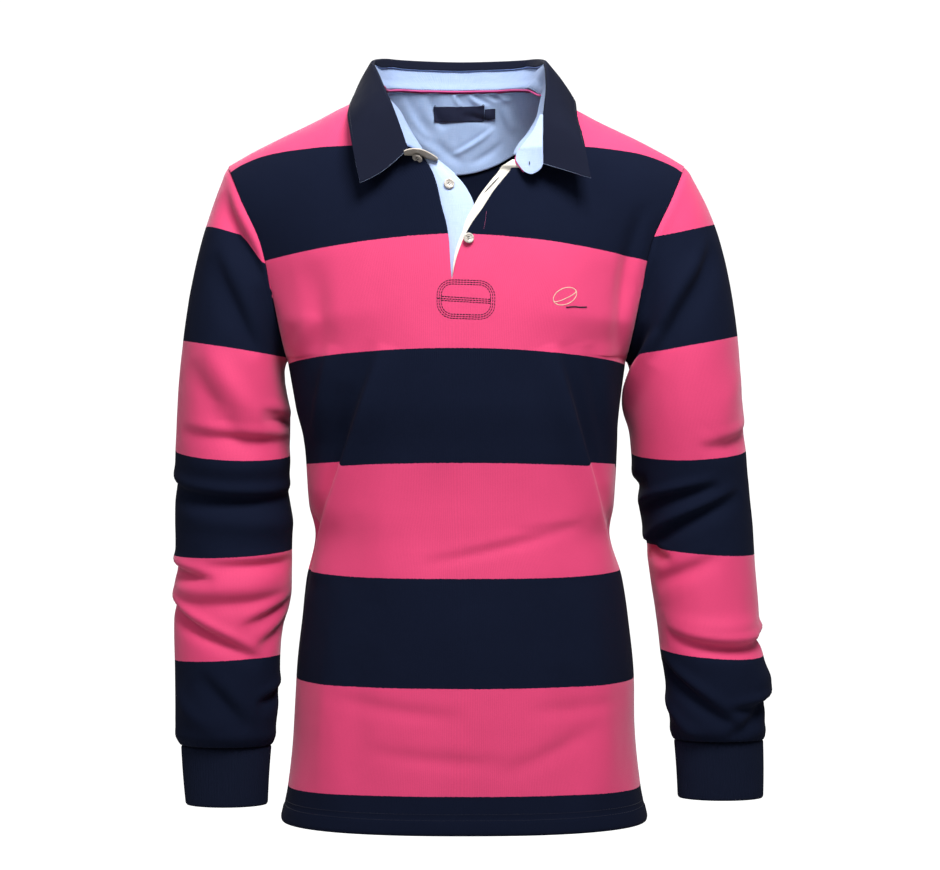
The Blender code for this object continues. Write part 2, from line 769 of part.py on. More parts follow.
def lined_point(face, x, z, depth):
    """Point inside the yoke's outer surface by a depth, square to it."""
    step = 0.5 * MM
    point = yoke_point(face, x, z)
    across = yoke_point(face, x + step, z) - yoke_point(face, x - step, z)
    up = yoke_point(face, x, z + step) - yoke_point(face, x, z - step)
    inward = up.cross(across) if face == "front" else across.cross(up)
    return point + inward.normalized() * depth


def neck_z(x):
    """Height of the back neckline at a distance from the middle."""
    rise = smooth(BACK_NECK, "rise", abs(x))
    return ARMPIT_Z + (ridge_z(x) - ARMPIT_Z) * rise


def rows_tree(rows):
    """The facets of a flipped sheet, for finding places on it."""
    width = len(rows[0])
    points = [point for row in rows for point in row]
    faces = []
    for i in range(len(rows) - 1):
        for j in range(width - 1):
            k = i * width + j
            faces.append((k + width, k + width + 1, k + 1))
            faces.append((k + width, k + 1, k))
    return BVHTree.FromPolygons(points, faces)


def inside_back(tree, x, z, depth):
    """Point a depth inside a sheet of the back, at a place seen from the front."""
    place, normal, _, _ = tree.ray_cast(Vector((x + UPPER_LEAN, 0.0, z)), Vector((0.0, 1.0, 0.0)))
    if normal.y > 0:
        normal = -normal
    return place + normal * depth


def lining_rows():
    tree = rows_tree(back_rows())
    depth = JERSEY_WALL + LINING_EASE
    rows = []
    for i in range(LINING_ROWS + 1):
        row = []
        for j in range(LINING_COLUMNS + 1):
            x = LINING_HALF_WIDTH * (2 * j / LINING_COLUMNS - 1)
            top = neck_z(x) - LINING_TOP_DROP
            low = LINING_LOW_Z + (LINING_SIDE_Z - LINING_LOW_Z) * (x / LINING_HALF_WIDTH) ** 2
            row.append(inside_back(tree, x, low + (top - low) * i / LINING_ROWS, depth))
        rows.append(row)
    return rows


def make_neck_lining():
    """Half-moon lining inside the back, under the collar."""
    make_wall("neck_lining", [lining_rows()], LINING_WALL, LIGHT_BLUE, flip=True)


def make_patch(name, left, right, low, high):
    """A small flat piece sewn on the neck lining."""
    tree = rows_tree(lining_rows())
    depth = LINING_WALL + 2 * SEAM_GAP
    rows = []
    for i in range(4):
        z = low + (high - low) * i / 3
        rows.append([inside_back(tree, left + (right - left) * j / 8, z, depth) for j in range(9)])
    make_wall(name, [rows], LABEL_WALL, NAVY, flip=True)


def make_labels():
    make_patch("neck_label", -0.025, 0.031, -0.0105, 0.0045)
    make_patch("size_tab", 0.0315, 0.043, -0.0085, 0.0015)


def make_piping():
    """Round piping along the inside of the neck seam."""
    seam = neckline()
    points = []
    for i in range(PIPING_POINTS):
        station = PIPING_START + (PIPING_END - PIPING_START) * i / (PIPING_POINTS - 1)
        foot, _, _, up, out = collar_frame(seam, station)
        points.append(foot + up * PIPING_RISE - out * PIPING_DEPTH)
    curve = bpy.data.curves.new("neck_piping", "CURVE")
    curve.dimensions = "3D"
    curve.bevel_depth = PIPING_RADIUS
    curve.bevel_resolution = 1
    curve.use_fill_caps = True
    spline = curve.splines.new("POLY")
    spline.points.add(len(points) - 1)
    for spot, point in zip(spline.points, points):
        spot.co = (*point, 1.0)
    curve.materials.append(make_material("neck_piping_cloth", PINK))
    shirt().objects.link(bpy.data.objects.new("neck_piping", curve))


def opening_x(side, z):
    """Edge of the front opening at a height in z, found by halving."""
    column = "left" if side < 0 else "right"
    low, high = 0.0, 1.0
    for _ in range(24):
        height = (low + high) / 2
        x = smooth(OPENING, column, height)
        foot = ARMPIT_Z + (ridge_z(x) - ARMPIT_Z) * slit_rise()
        if foot + (ridge_z(x) - foot) * height < z:
            low = height
        else:
            high = height
    return smooth(OPENING, column, (low + high) / 2)


def make_placket(name, side, depth, width, overhang, colour, top_z):
    """A facing strip behind one edge of the front opening."""
    rows = []
    for i in range(PLACKET_ROWS + 1):
        z = PLACKET_FOOT_Z + (top_z - PLACKET_FOOT_Z) * i / PLACKET_ROWS
        edge = opening_x(side, max(z, SLIT_Z))
        open_share = smooth_step((z - SLIT_Z) / (top_z - SLIT_Z))
        start = edge - overhang * open_share
        row = [lined_point("front", start + width * j / 4, z, depth) for j in range(5)]
        rows.append(row)
    make_wall(name, [rows], PLACKET_WALL, colour)


def make_plackets():
    behind = JERSEY_WALL + PLACKET_EASE
    make_placket("placket_facing", 1, behind, 0.030, 0.004, CREAM, -0.084)
    deeper = behind + PLACKET_WALL + SEAM_GAP
    make_placket("placket_under", -1, deeper, 0.034, 0.002, LIGHT_BLUE, -0.083)


def make_button(name, x, z, depth):
    """A turned button with its back on the cloth at a place on the front."""
    back = lined_point("front", x, z, depth)
    outward = (lined_point("front", x, z, depth - MM) - back).normalized()
    mesh = bmesh.new()
    bmesh.ops.create_cone(
        mesh, cap_ends=True, segments=BUTTON_SIDES, depth=BUTTON_THICKNESS,
        radius1=BUTTON_RADIUS, radius2=BUTTON_RADIUS,
    )
    turn = Vector((0.0, 0.0, 1.0)).rotation_difference(outward).to_matrix()
    bmesh.ops.rotate(mesh, verts=mesh.verts, cent=Vector(), matrix=turn)
    bmesh.ops.translate(mesh, verts=mesh.verts, vec=back + outward * (BUTTON_THICKNESS / 2))
    thing = finish(mesh, name, PEARL)
    bevel = thing.modifiers.new("Rim", "BEVEL")
    bevel.width = BUTTON_BEVEL
    bevel.segments = 2
    bevel.limit_method = "ANGLE"


def make_buttons():
    on_under = JERSEY_WALL + PLACKET_EASE + PLACKET_WALL
    make_button("button_neck", -0.040, -0.0865, -SEAM_GAP)
    make_button("button_middle", -0.007, -0.102, on_under)
    make_button("button_low", 0.013, -0.158, -SEAM_GAP)


def build():
    clear_scene()
    make_front()
    make_back()
    make_sleeve("sleeve_right", -1, SLEEVE_RIGHT)
    make_sleeve("sleeve_left", 1, SLEEVE_LEFT)
    make_cuff("cuff_right", -1, CUFF_RIGHT)
    make_cuff("cuff_left", 1, CUFF_LEFT)
    make_collar()
    make_neck_lining()
    make_labels()
    make_piping()
    make_plackets()
    make_buttons()


build()
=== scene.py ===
import bisect
import math
from functools import partial

import bmesh
import bpy
from mathutils import Matrix, Vector, noise
from mathutils.bvhtree import BVHTree


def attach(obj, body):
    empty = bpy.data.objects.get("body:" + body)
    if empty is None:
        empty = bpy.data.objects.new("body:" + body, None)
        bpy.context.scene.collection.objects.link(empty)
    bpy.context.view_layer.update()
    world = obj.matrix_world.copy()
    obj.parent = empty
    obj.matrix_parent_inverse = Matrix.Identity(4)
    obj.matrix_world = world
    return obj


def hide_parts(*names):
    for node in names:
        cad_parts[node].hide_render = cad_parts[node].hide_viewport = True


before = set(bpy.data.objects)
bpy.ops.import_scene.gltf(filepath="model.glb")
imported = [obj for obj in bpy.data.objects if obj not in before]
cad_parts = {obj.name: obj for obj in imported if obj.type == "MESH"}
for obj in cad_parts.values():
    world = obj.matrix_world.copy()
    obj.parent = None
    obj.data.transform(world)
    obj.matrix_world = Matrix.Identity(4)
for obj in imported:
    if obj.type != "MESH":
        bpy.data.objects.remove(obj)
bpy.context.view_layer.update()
mm = 0.001


# a curve from start to end that sets out along run and arrives along leave
def curveAt(start, run, end, leave, t):
    return (
        start * (1 + 2 * t) * (1 - t) ** 2
        + run * t * (1 - t) ** 2
        + end * t * t * (3 - 2 * t)
        + leave * t * t * (t - 1)
    )


# reading a table: the first column is the key, and a smooth line runs through the rows,
# which are in millimetres but for the column named as plain

def lineSlopes(keys, values):
    steps = [(values[i + 1] - values[i]) / (keys[i + 1] - keys[i]) for i in range(len(keys) - 1)]
    inner = []
    for before, after in zip(steps, steps[1:]):
        inner.append(2 * before * after / (before + after) if before * after > 0 else 0.0)
    return [steps[0]] + inner + [steps[-1]]


def profile(names, *rows, plain=""):
    names = names.split()
    units = [1.0 if name == plain else mm for name in names]
    rows = sorted([value * unit for value, unit in zip(row, units)] for row in rows)
    keys = [row[0] for row in rows]
    lines = {}
    for k, name in enumerate(names):
        values = [row[k] for row in rows]
        lines[name] = (values, lineSlopes(keys, values))

    def read(name, at):
        values, grades = lines[name]
        at = min(max(at, keys[0]), keys[-1])
        i = min(max(bisect.bisect_right(keys, at) - 1, 0), len(keys) - 2)
        span = keys[i + 1] - keys[i]
        run, leave = span * grades[i], span * grades[i + 1]
        return curveAt(values[i], run, values[i + 1], leave, (at - keys[i]) / span)

    return read


def ease(t):
    t = min(max(t, 0.0), 1.0)
    return t * t * (3 - 2 * t)


def bell(distance, width):
    return math.exp(-((distance / width) ** 2))


def mix(a, b, t):
    return a + (b - a) * t


# the body of the shirt, in the part's own sizes

body = {
    "hem": -0.748,
    "armpit": -0.272,
    "slit": -0.199,
    "slitShift": -0.004,
    "ventTop": -0.700,
    "ventGap": 5.0 * mm,
    "ventTurn": 0.86,
    "ringPower": 2.4,
    "profilePower": 2.2,
    "upperLean": -0.007,
    "armholeFront": 0.066,
    "armholeBack": 0.074,
    "seamGap": 0.3 * mm,
    "wall": 1.3 * mm,
    "rings": profile(
        "z halfWidth front back lean",
        (-748, 190, 120, 117, 1), (-715, 183, 119, 114, 1), (-655, 177, 118, 108, 1),
        (-598, 175, 117, 102, 2), (-540, 169, 115, 97, 2), (-500, 164, 113, 94, 1),
        (-452, 153, 111, 92, -1), (-423, 158, 111, 93, -2), (-364, 161, 115, 104, -3),
        (-320, 168, 120.4, 111.8, -5.8), (-272, 175.5, 121, 113, -7),
    ),
    "ridge": profile(
        "x z",
        (0, 93), (40, 72), (60, 45), (80, 14), (100, -1), (125, -14.3), (153, -29), (184, -43.5),
        (212, -58), (240, -73.5),
    ),
    "armhole": profile(
        "rise halfWidth",
        (0, 175.5), (0.25, 185), (0.5, 196), (0.75, 217), (1, 236),
        plain="rise",
    ),
    "opening": profile(
        "height right left",
        (0, -4, -4), (0.07, -5.6, 0.4), (0.14, -6.8, 7.2), (0.2, -9.5, 15.5), (0.26, -14, 26.2),
        (0.32, -17.5, 35.2), (0.38, -22.2, 44.6), (0.46, -33.5, 54.8), (0.56, -46.2, 61.8),
        (0.72, -60, 76.5), (0.86, -72, 86.5), (1, -81, 91.2),
        plain="height",
    ),
    "backNeck": profile(
        "x rise",
        (0, 0.8), (40, 0.847), (60, 0.915), (74, 0.975), (82, 1),
        plain="rise",
    ),
}


def faceSign(face):
    return -1 if face == "front" else 1


def sideName(side):
    return "right" if side < 0 else "left"


def acrossAt(turn):
    return math.copysign(math.sin(abs(turn) * math.pi / 2) ** (2 / body["ringPower"]), turn)


# how full the ring is at a share of its half width
def roundSide(share):
    return max(1 - min(share, 1.0) ** body["ringPower"], 0.0) ** (1 / body["ringPower"])


def ridgeHeight(x):
    return body["ridge"]("z", abs(x))


def slitRise():
    return (body["slit"] - body["armpit"]) / (ridgeHeight(0.0) - body["armpit"])


def riseHeight(x, rise):
    return body["armpit"] + (ridgeHeight(x) - body["armpit"]) * rise


def armholeDepth(face, rise):
    furthest = body["armholeFront"] if face == "front" else body["armholeBack"]
    return furthest * 2 * math.sqrt(max(rise * (1 - rise), 0.0))


# a place on the body below the armpits
def lowerSpot(face, turn, z):
    across = acrossAt(turn)
    shift = body["slitShift"] * (1 - abs(across)) if face == "front" else 0.0
    halfWidth = body["rings"]("halfWidth", z)
    x = halfWidth * across + shift
    depth = body["rings"](face, z) * roundSide(abs(x) / halfWidth)
    return Vector((x + body["rings"]("lean", z), faceSign(face) * depth, z))


# a place on the body above the armpits, found from where it is seen from the front
def upperSpot(face, x, z):
    armpit = body["armpit"]
    rise = min(max((z - armpit) / (ridgeHeight(x) - armpit), 0.0), 1.0)
    across = min(abs(x) / body["armhole"]("halfWidth", rise), 1.0)
    fullness = mix(roundSide(across), 1 - across**3, ease(rise / 0.35))
    power = body["profilePower"]
    chest = body["rings"](face, armpit) * (1 - rise**power) ** (1 / power)
    edge = armholeDepth(face, rise) * mix(ease(rise / 0.16), 1.0, across**12)
    return Vector((x + body["upperLean"], faceSign(face) * mix(edge, chest, fullness), z))


def armholeSpot(face, side, rise):
    halfWidth = body["armhole"]("halfWidth", rise)
    y = faceSign(face) * armholeDepth(face, rise)
    return Vector((side * halfWidth + body["upperLean"], y, riseHeight(halfWidth, rise)))


# stripes: the height of each change of colour in millimetres, on the body at the middle and at
# the side seam with the power of the curve between, on a sleeve at its outside, front and inside

stripes = {
    "pitch": 0.113,
    "front": [
        (-61, -81.5, 8), (-153.2, -175.5, 1.6), (-266.7, -281, 2.2), (-380, -384, 2), (-494.6, -490, 4),
        (-603, -601.5, 3), (-709, -712.5, 3),
    ],
    "back": [
        (-40, -81.5, 2), (-160, -175.5, 2), (-274, -281, 2), (-383, -384, 2), (-492, -490, 2),
        (-602, -601.5, 2), (-712, -712.5, 2),
    ],
    "sleeveRight": [
        (-136, -154, -176), (-252.8, -264, -270), (-365.3, -377, -371.6), (-474.7, -476.5, -469.5),
        (-584, -581.5, -579),
    ],
    "sleeveLeft": [
        (-132, -153, -166), (-247.6, -262, -269), (-365.3, -377, -369.7), (-473.7, -473.5, -465),
        (-578.9, -579.5, -572),
    ],
}


# colour bands counted down the cloth: odd ones are pink
def bandAt(z, edges):
    if z >= edges[0]:
        return (edges[0] - z) / stripes["pitch"]
    for k in range(len(edges) - 1):
        if z >= edges[k + 1]:
            return k + (edges[k] - z) / (edges[k] - edges[k + 1])
    return len(edges) - 1 + (edges[-1] - z) / stripes["pitch"]


def bodyBand(face, across, z):
    edges = [mix(middle, side, abs(across) ** power) * mm for middle, side, power in stripes[face]]
    return bandAt(z, edges)


def sleeveBand(name, angle, z):
    edges = []
    for outer, front, inner in stripes[name]:
        level = (outer + inner) / 2
        edge = level + (outer - inner) / 2 * math.cos(angle) + (front - level) * math.sin(angle)
        edges.append(edge * mm)
    return bandAt(z, edges)


# folds: a line from one end to the other, bowed, with a gentle and a steep flank,
# and past the steep one the cloth goes a little the other way; sizes are in widths of the flank
foldShape = {"reach": 5, "dipAt": 2.2, "dipWidth": 1.4, "endPower": 0.8, "stepFade": 0.25}


def foldLift(folds, a, b):
    lift = 0.0
    for a0, b0, a1, b1, bow, width, skew, depth in folds:
        runA, runB = a1 - a0, b1 - b0
        length = math.hypot(runA, runB)
        t = ((a - a0) * runA + (b - b0) * runB) / length**2
        if t <= 0 or t >= 1:
            continue
        distance = ((a - a0) * runB - (b - b0) * runA) / length - bow * 4 * t * (1 - t)
        if abs(distance) > foldShape["reach"] * width:
            continue
        gentle = math.copysign(distance, distance * skew)
        flank = width * (1 + abs(skew) if gentle > 0 else 1 - abs(skew))
        steep = width * (1 - abs(skew))
        dip = bell(gentle + foldShape["dipAt"] * steep, foldShape["dipWidth"] * steep)
        shape = bell(distance, flank) - abs(skew) * dip
        lift += depth * shape * math.sin(math.pi * t) ** foldShape["endPower"]
    return lift


# where a fold tucks cloth away, the stripes on its far side are out of step
def stepAside(steps, a, b):
    shift, fade = 0.0, foldShape["stepFade"]
    for a0, b0, a1, b1, width, amount in steps:
        runA, runB = a1 - a0, b1 - b0
        length = math.hypot(runA, runB)
        t = ((a - a0) * runA + (b - b0) * runB) / length**2
        distance = ((a - a0) * runB - (b - b0) * runA) / length
        shift += amount * ease(0.5 - distance / width) * ease(t / fade) * ease((1 - t) / fade)
    return shift


# tables of steps and folds are in millimetres but for the skew; along is the unit of their x
def inMetres(rows, along=mm):
    units = (along, mm, along, mm, mm, mm, 1.0, mm)
    return [[value * unit for value, unit in zip(row, units)] for row in rows]


# columns: x0 z0 x1 z1 width shift
bodySteps = {
    "front": inMetres([(-158, -500, -78, -262, 5, -3), (88, -262, 152, -490, 5, -3)]),
    "back": [],
}

# columns: x0 z0 x1 z1 bow width skew depth
bodyFolds = {
    "front": inMetres([
        (-78, -262, -158, -500, 0, 12, -0.55, 10.5), (-132, -262, -153, -360, 0, 8, -0.3, 4.5),
        (-116, -300, -140, -420, 2, 10, 0, -4), (-150, -410, -166, -520, 0, 10, 0, -4),
        (88, -262, 152, -490, 0, 12, 0.55, 10.5), (126, -262, 148, -400, 0, 9, 0.3, -4.5),
        (184, -118, 158, -275, 7, 8, 0.25, -6), (-150, -176, -140, -285, 0, 13, 0, -4),
        (-148, -232, -172, -275, 0, 10, 0, 3), (70, -120, 110, -262, -8, 30, 0, 3),
        (-42, -480, 121, -442, 2, 5.5, 0.3, -2), (50, -449, 120, -441, 0, 5, 0.3, -1.2),
        (-60, -370, -85, -520, 6, 20, 0, 2.8), (-20, -380, -30, -500, 4, 22, 0, -2),
        (60, -300, 85, -500, -6, 20, 0, 2.8), (-118, -500, -140, -735, 6, 20, -0.2, 4.5),
        (-98, -560, -108, -730, 4, 15, 0, -2.8), (124, -500, 142, -735, -6, 20, 0.2, 4.5),
        (98, -580, 110, -730, -4, 16, 0, -2.8), (14, -520, 24, -735, 6, 30, 0, 2.8),
        (-135, -612, 5, -632, 3, 8, 0.2, -1.6), (-100, -664, 50, -676, 4, 8, 0.2, -1.6),
        (30, -690, 140, -640, 3, 9, 0.2, -1.8), (60, -625, 160, -618, 3, 8, 0, -1.4),
    ]),
    "back": inMetres([
        (-120, -250, -50, -490, 10, 15, 0.45, 10), (125, -240, 60, -480, -10, 15, -0.45, 10),
        (-152, -320, -100, -520, 6, 12, 0.5, 8.5), (152, -320, 105, -510, -6, 12, -0.5, 8.5),
        (-85, -450, 72, -462, 10, 10, 0.4, -6.5), (-55, -498, 64, -490, 6, 10, 0.4, -4.5),
        (-110, -415, -20, -430, 6, 9, 0.4, -3.5), (-6, -400, -20, -600, 4, 20, 0, 6),
        (80, -500, 112, -735, -6, 20, 0.3, 7), (-90, -520, -125, -735, 6, 20, -0.3, 7),
        (20, -560, 30, -735, 4, 24, 0, -4.5), (-120, -90, -70, -230, 6, 16, 0.3, 4.5),
        (120, -90, 70, -230, -6, 16, -0.3, 4.5), (-160, -180, -120, -330, 4, 12, 0.3, -5),
        (160, -180, 120, -330, -4, 12, -0.3, -5),
    ]),
}


# the fine unevenness of cloth: waves of a size and a height in millimetres, taller than wide
def ripple(place, *waves):
    spot = Vector((place.x, place.y, place.z * 0.6))
    return sum(noise.noise(spot / (size * mm)) * height * mm for size, height in waves)


# the welt at a seam: a dip at the edge and a rise beside it
def seamWelt(edge, dip, rise, width):
    return rise * bell(edge - 4.0 * mm, width) - dip * bell(edge, 1.5 * mm)


# cloth grids: a flat grid whose points are moved to their places, with room for
# the band of colour, the way across the cloth and how freely the cloth moves

def newCloth():
    mesh = bmesh.new()
    mesh.loops.layers.uv.new("UVMap")
    mesh.verts.layers.float.new("band")
    mesh.verts.layers.float.new("free")
    mesh.verts.layers.float_vector.new("laid")
    return mesh


def addGrid(mesh, columns, rows, placeAt):
    uvLayer = mesh.loops.layers.uv["UVMap"]
    bandLayer = mesh.verts.layers.float["band"]
    freeLayer = mesh.verts.layers.float["free"]
    laidLayer = mesh.verts.layers.float_vector["laid"]
    across, up = len(columns) - 1, len(rows) - 1
    made = bmesh.ops.create_grid(mesh, x_segments=across, y_segments=up, size=0.5, calc_uvs=False)
    for vert in made["verts"]:
        i = round((vert.co.x + 0.5) * across)
        j = round((vert.co.y + 0.5) * up)
        spot = placeAt(columns[i], rows[j])
        vert.co = spot["at"]
        vert[bandLayer] = spot.get("band", 0.0)
        vert[freeLayer] = spot.get("free", 1.0)
        vert[laidLayer] = (*spot["laid"], 0.0)
    for face in {face for vert in made["verts"] for face in vert.link_faces}:
        for loop in face.loops:
            loop[uvLayer].uv = loop.vert[laidLayer].xy


def pushCloth(mesh, liftAt):
    freeLayer = mesh.verts.layers.float["free"]
    laidLayer = mesh.verts.layers.float_vector["laid"]
    mesh.normal_update()
    moves = [(vert, vert.normal * liftAt(vert.co, vert[freeLayer], vert[laidLayer])) for vert in mesh.verts]
    for vert, move in moves:
        vert.co += move


def addObject(name, data):
    thing = bpy.data.objects.new(name, data)
    bpy.context.scene.collection.objects.link(thing)
    return thing


def meshObject(name, mesh):
    data = bpy.data.meshes.new(name)
    mesh.to_mesh(data)
    mesh.free()
    return addObject(name, data)


# a piece with its materials and its wall, the node that it replaces, and soft edges
def finishPiece(mesh, name, cloths, wall=None, node=None, slot=None, bevel=None):
    thing = meshObject(name, mesh)
    for cloth in cloths.split():
        thing.data.materials.append(materials[cloth])
    thing.data.shade_smooth()
    if wall is not None:
        solid = thing.modifiers.new("Wall", "SOLIDIFY")
        solid.thickness = wall
        solid.offset = -1.0
        solid.use_rim = True
        if len(thing.data.materials) > 1:
            solid.material_offset = solid.material_offset_rim = 1
    if bevel is not None:
        soft = thing.modifiers.new("Soft edge", "BEVEL")
        soft.width = bevel
        soft.segments = 2
        soft.limit_method = "ANGLE"
        soft.angle_limit = math.radians(60)
    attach(thing, "root")
    if node is not None:
        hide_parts(node)
    return thing


def spread(start, end, count):
    return [mix(start, end, i / count) for i in range(count + 1)]


# positions from 0 to 1 that crowd towards both ends
def crowded(count, near, steps):
    ends = [near * (k / steps) ** 1.5 for k in range(steps)]
    return ends + spread(near, 1 - near, count) + [1 - end for end in reversed(ends)]


print("shape: tables read")


# levels of the body's cloth: heights up to the armpits, then a climb from 0 to pi above them
def jerseyRows(panel):
    z = spread(body["hem"], body["hem"] + 0.024, 12)
    z += spread(body["hem"] + 0.026, body["armpit"], round(0.448 / panel["zStep"]))
    rows = [("z", value) for value in z]
    rows += [("climb", math.pi * t) for t in spread(0.0, 0.96, panel["climbRows"])[1:]]
    rows += [("climb", math.pi * (1 - 0.04 * (k / 5) ** 1.5)) for k in (4, 3, 2, 1, 0)]
    return rows


def riseAt(climb):
    return (1 - math.cos(climb)) / 2


panels = {
    "front": {"columns": 76, "crowd": 0.035, "zStep": 0.0037, "climbRows": 72, "girth": 0.235},
    "back": {"columns": 128, "crowd": 0.018, "zStep": 0.0042, "climbRows": 60, "girth": 0.245},
    # the folds fade out over this width at the seams and this height at the hem
    "seamFade": 16 * mm,
    "hemFade": 60 * mm,
}

# the hem's turning: how high its rows of stitches are, how thick it is, and its groove and its edge
hem = {"stitches": (16.5 * mm, 21.5 * mm), "thick": 0.6 * mm, "groove": 0.35 * mm, "round": 1.5 * mm}


def hemLift(above):
    past = above - hem["stitches"][0]
    lift = hem["thick"] * ease(-past / (1.6 * mm)) - hem["groove"] * bell(past - 0.5 * mm, 1.2 * mm)
    return lift - hem["round"] * bell(above, 1.6 * mm)


def bodySpot(face, turn, level, xAt, riseOf):
    kind, value = level
    girth = panels[face]["girth"]
    edge = (1 - abs(turn)) * girth
    if kind == "z":
        at = lowerSpot(face, turn, value)
        gap = body["ventGap"] * ease((body["ventTop"] - value) / (body["ventTop"] - body["hem"]))
        at.y += faceSign(face) * gap / 2 * ease((abs(turn) - body["ventTurn"]) / (1 - body["ventTurn"]))
        middle, halfWidth = body["rings"]("lean", value), body["rings"]("halfWidth", value)
    else:
        rise = riseOf(value)
        x = xAt(rise)
        at = upperSpot(face, x, riseHeight(x, rise))
        edge = min(edge, (math.pi - value) * 0.10)
        middle, halfWidth = body["upperLean"], body["armhole"]("halfWidth", riseAt(value))
    if abs(turn) == 1.0 or (kind == "climb" and value == math.pi):
        at.y += faceSign(face) * body["seamGap"] / 2
    share = min(abs(at.x - middle) / halfWidth, 1.0)
    band = bodyBand(face, share, at.z + stepAside(bodySteps[face], at.x, at.z))
    laid = (turn * girth, -band * stripes["pitch"])
    return {"at": at, "band": band, "free": edge, "laid": laid}


def frontSpot(side, turn, level):
    def xAt(rise):
        height = (rise - slitRise()) / (1 - slitRise())
        inner = body["opening"](sideName(side), max(height, 0.0))
        return mix(inner, side * body["armhole"]("halfWidth", rise), abs(acrossAt(turn)))

    return bodySpot("front", turn, level, xAt, riseAt)


def backSpot(turn, level):
    across = acrossAt(turn)
    top = body["backNeck"]("rise", abs(across) * body["armhole"]("halfWidth", 1.0))

    def riseOf(climb):
        return top * riseAt(climb)

    def xAt(rise):
        return across * body["armhole"]("halfWidth", rise)

    return bodySpot("back", turn, level, xAt, riseOf)


def bodyLift(face):
    def lift(at, edge, laid):
        above = at.z - body["hem"]
        push = foldLift(bodyFolds[face], at.x, at.z) + ripple(at, (45, 0.9), (13, 0.22))
        push *= ease(edge / panels["seamFade"]) * mix(0.5, 1.0, ease(above / panels["hemFade"]))
        return push + hemLift(above) + seamWelt(edge, 0.9 * mm, 0.35 * mm, 2.0 * mm)

    return lift


# the row nearest to the foot of the slit is moved there, and the halves are joined below it
def makeFront():
    mesh = newCloth()
    panel = panels["front"]
    rows = jerseyRows(panel)
    slit = math.acos(1 - 2 * slitRise())
    climbs = [j for j, (kind, _) in enumerate(rows) if kind == "climb"]
    rows[min(climbs, key=lambda j: abs(rows[j][1] - slit))] = ("climb", slit)
    turns = crowded(panel["columns"], panel["crowd"], 5)
    for side in (-1, 1):
        addGrid(mesh, sorted(side * turn for turn in turns), rows, partial(frontSpot, side))
    bmesh.ops.remove_doubles(mesh, verts=mesh.verts, dist=0.02 * mm)
    pushCloth(mesh, bodyLift("front"))
    return finishPiece(mesh, "frontCloth", "jersey", body["wall"], "front_panel", "jersey")


def makeBack():
    mesh = newCloth()
    panel = panels["back"]
    turns = [2 * t - 1 for t in crowded(panel["columns"], panel["crowd"], 5)]
    addGrid(mesh, turns, jerseyRows(panel), backSpot)
    bmesh.ops.reverse_faces(mesh, faces=mesh.faces)
    pushCloth(mesh, bodyLift("back"))
    return finishPiece(mesh, "backCloth", "jersey", body["wall"], "back_panel", "jersey")


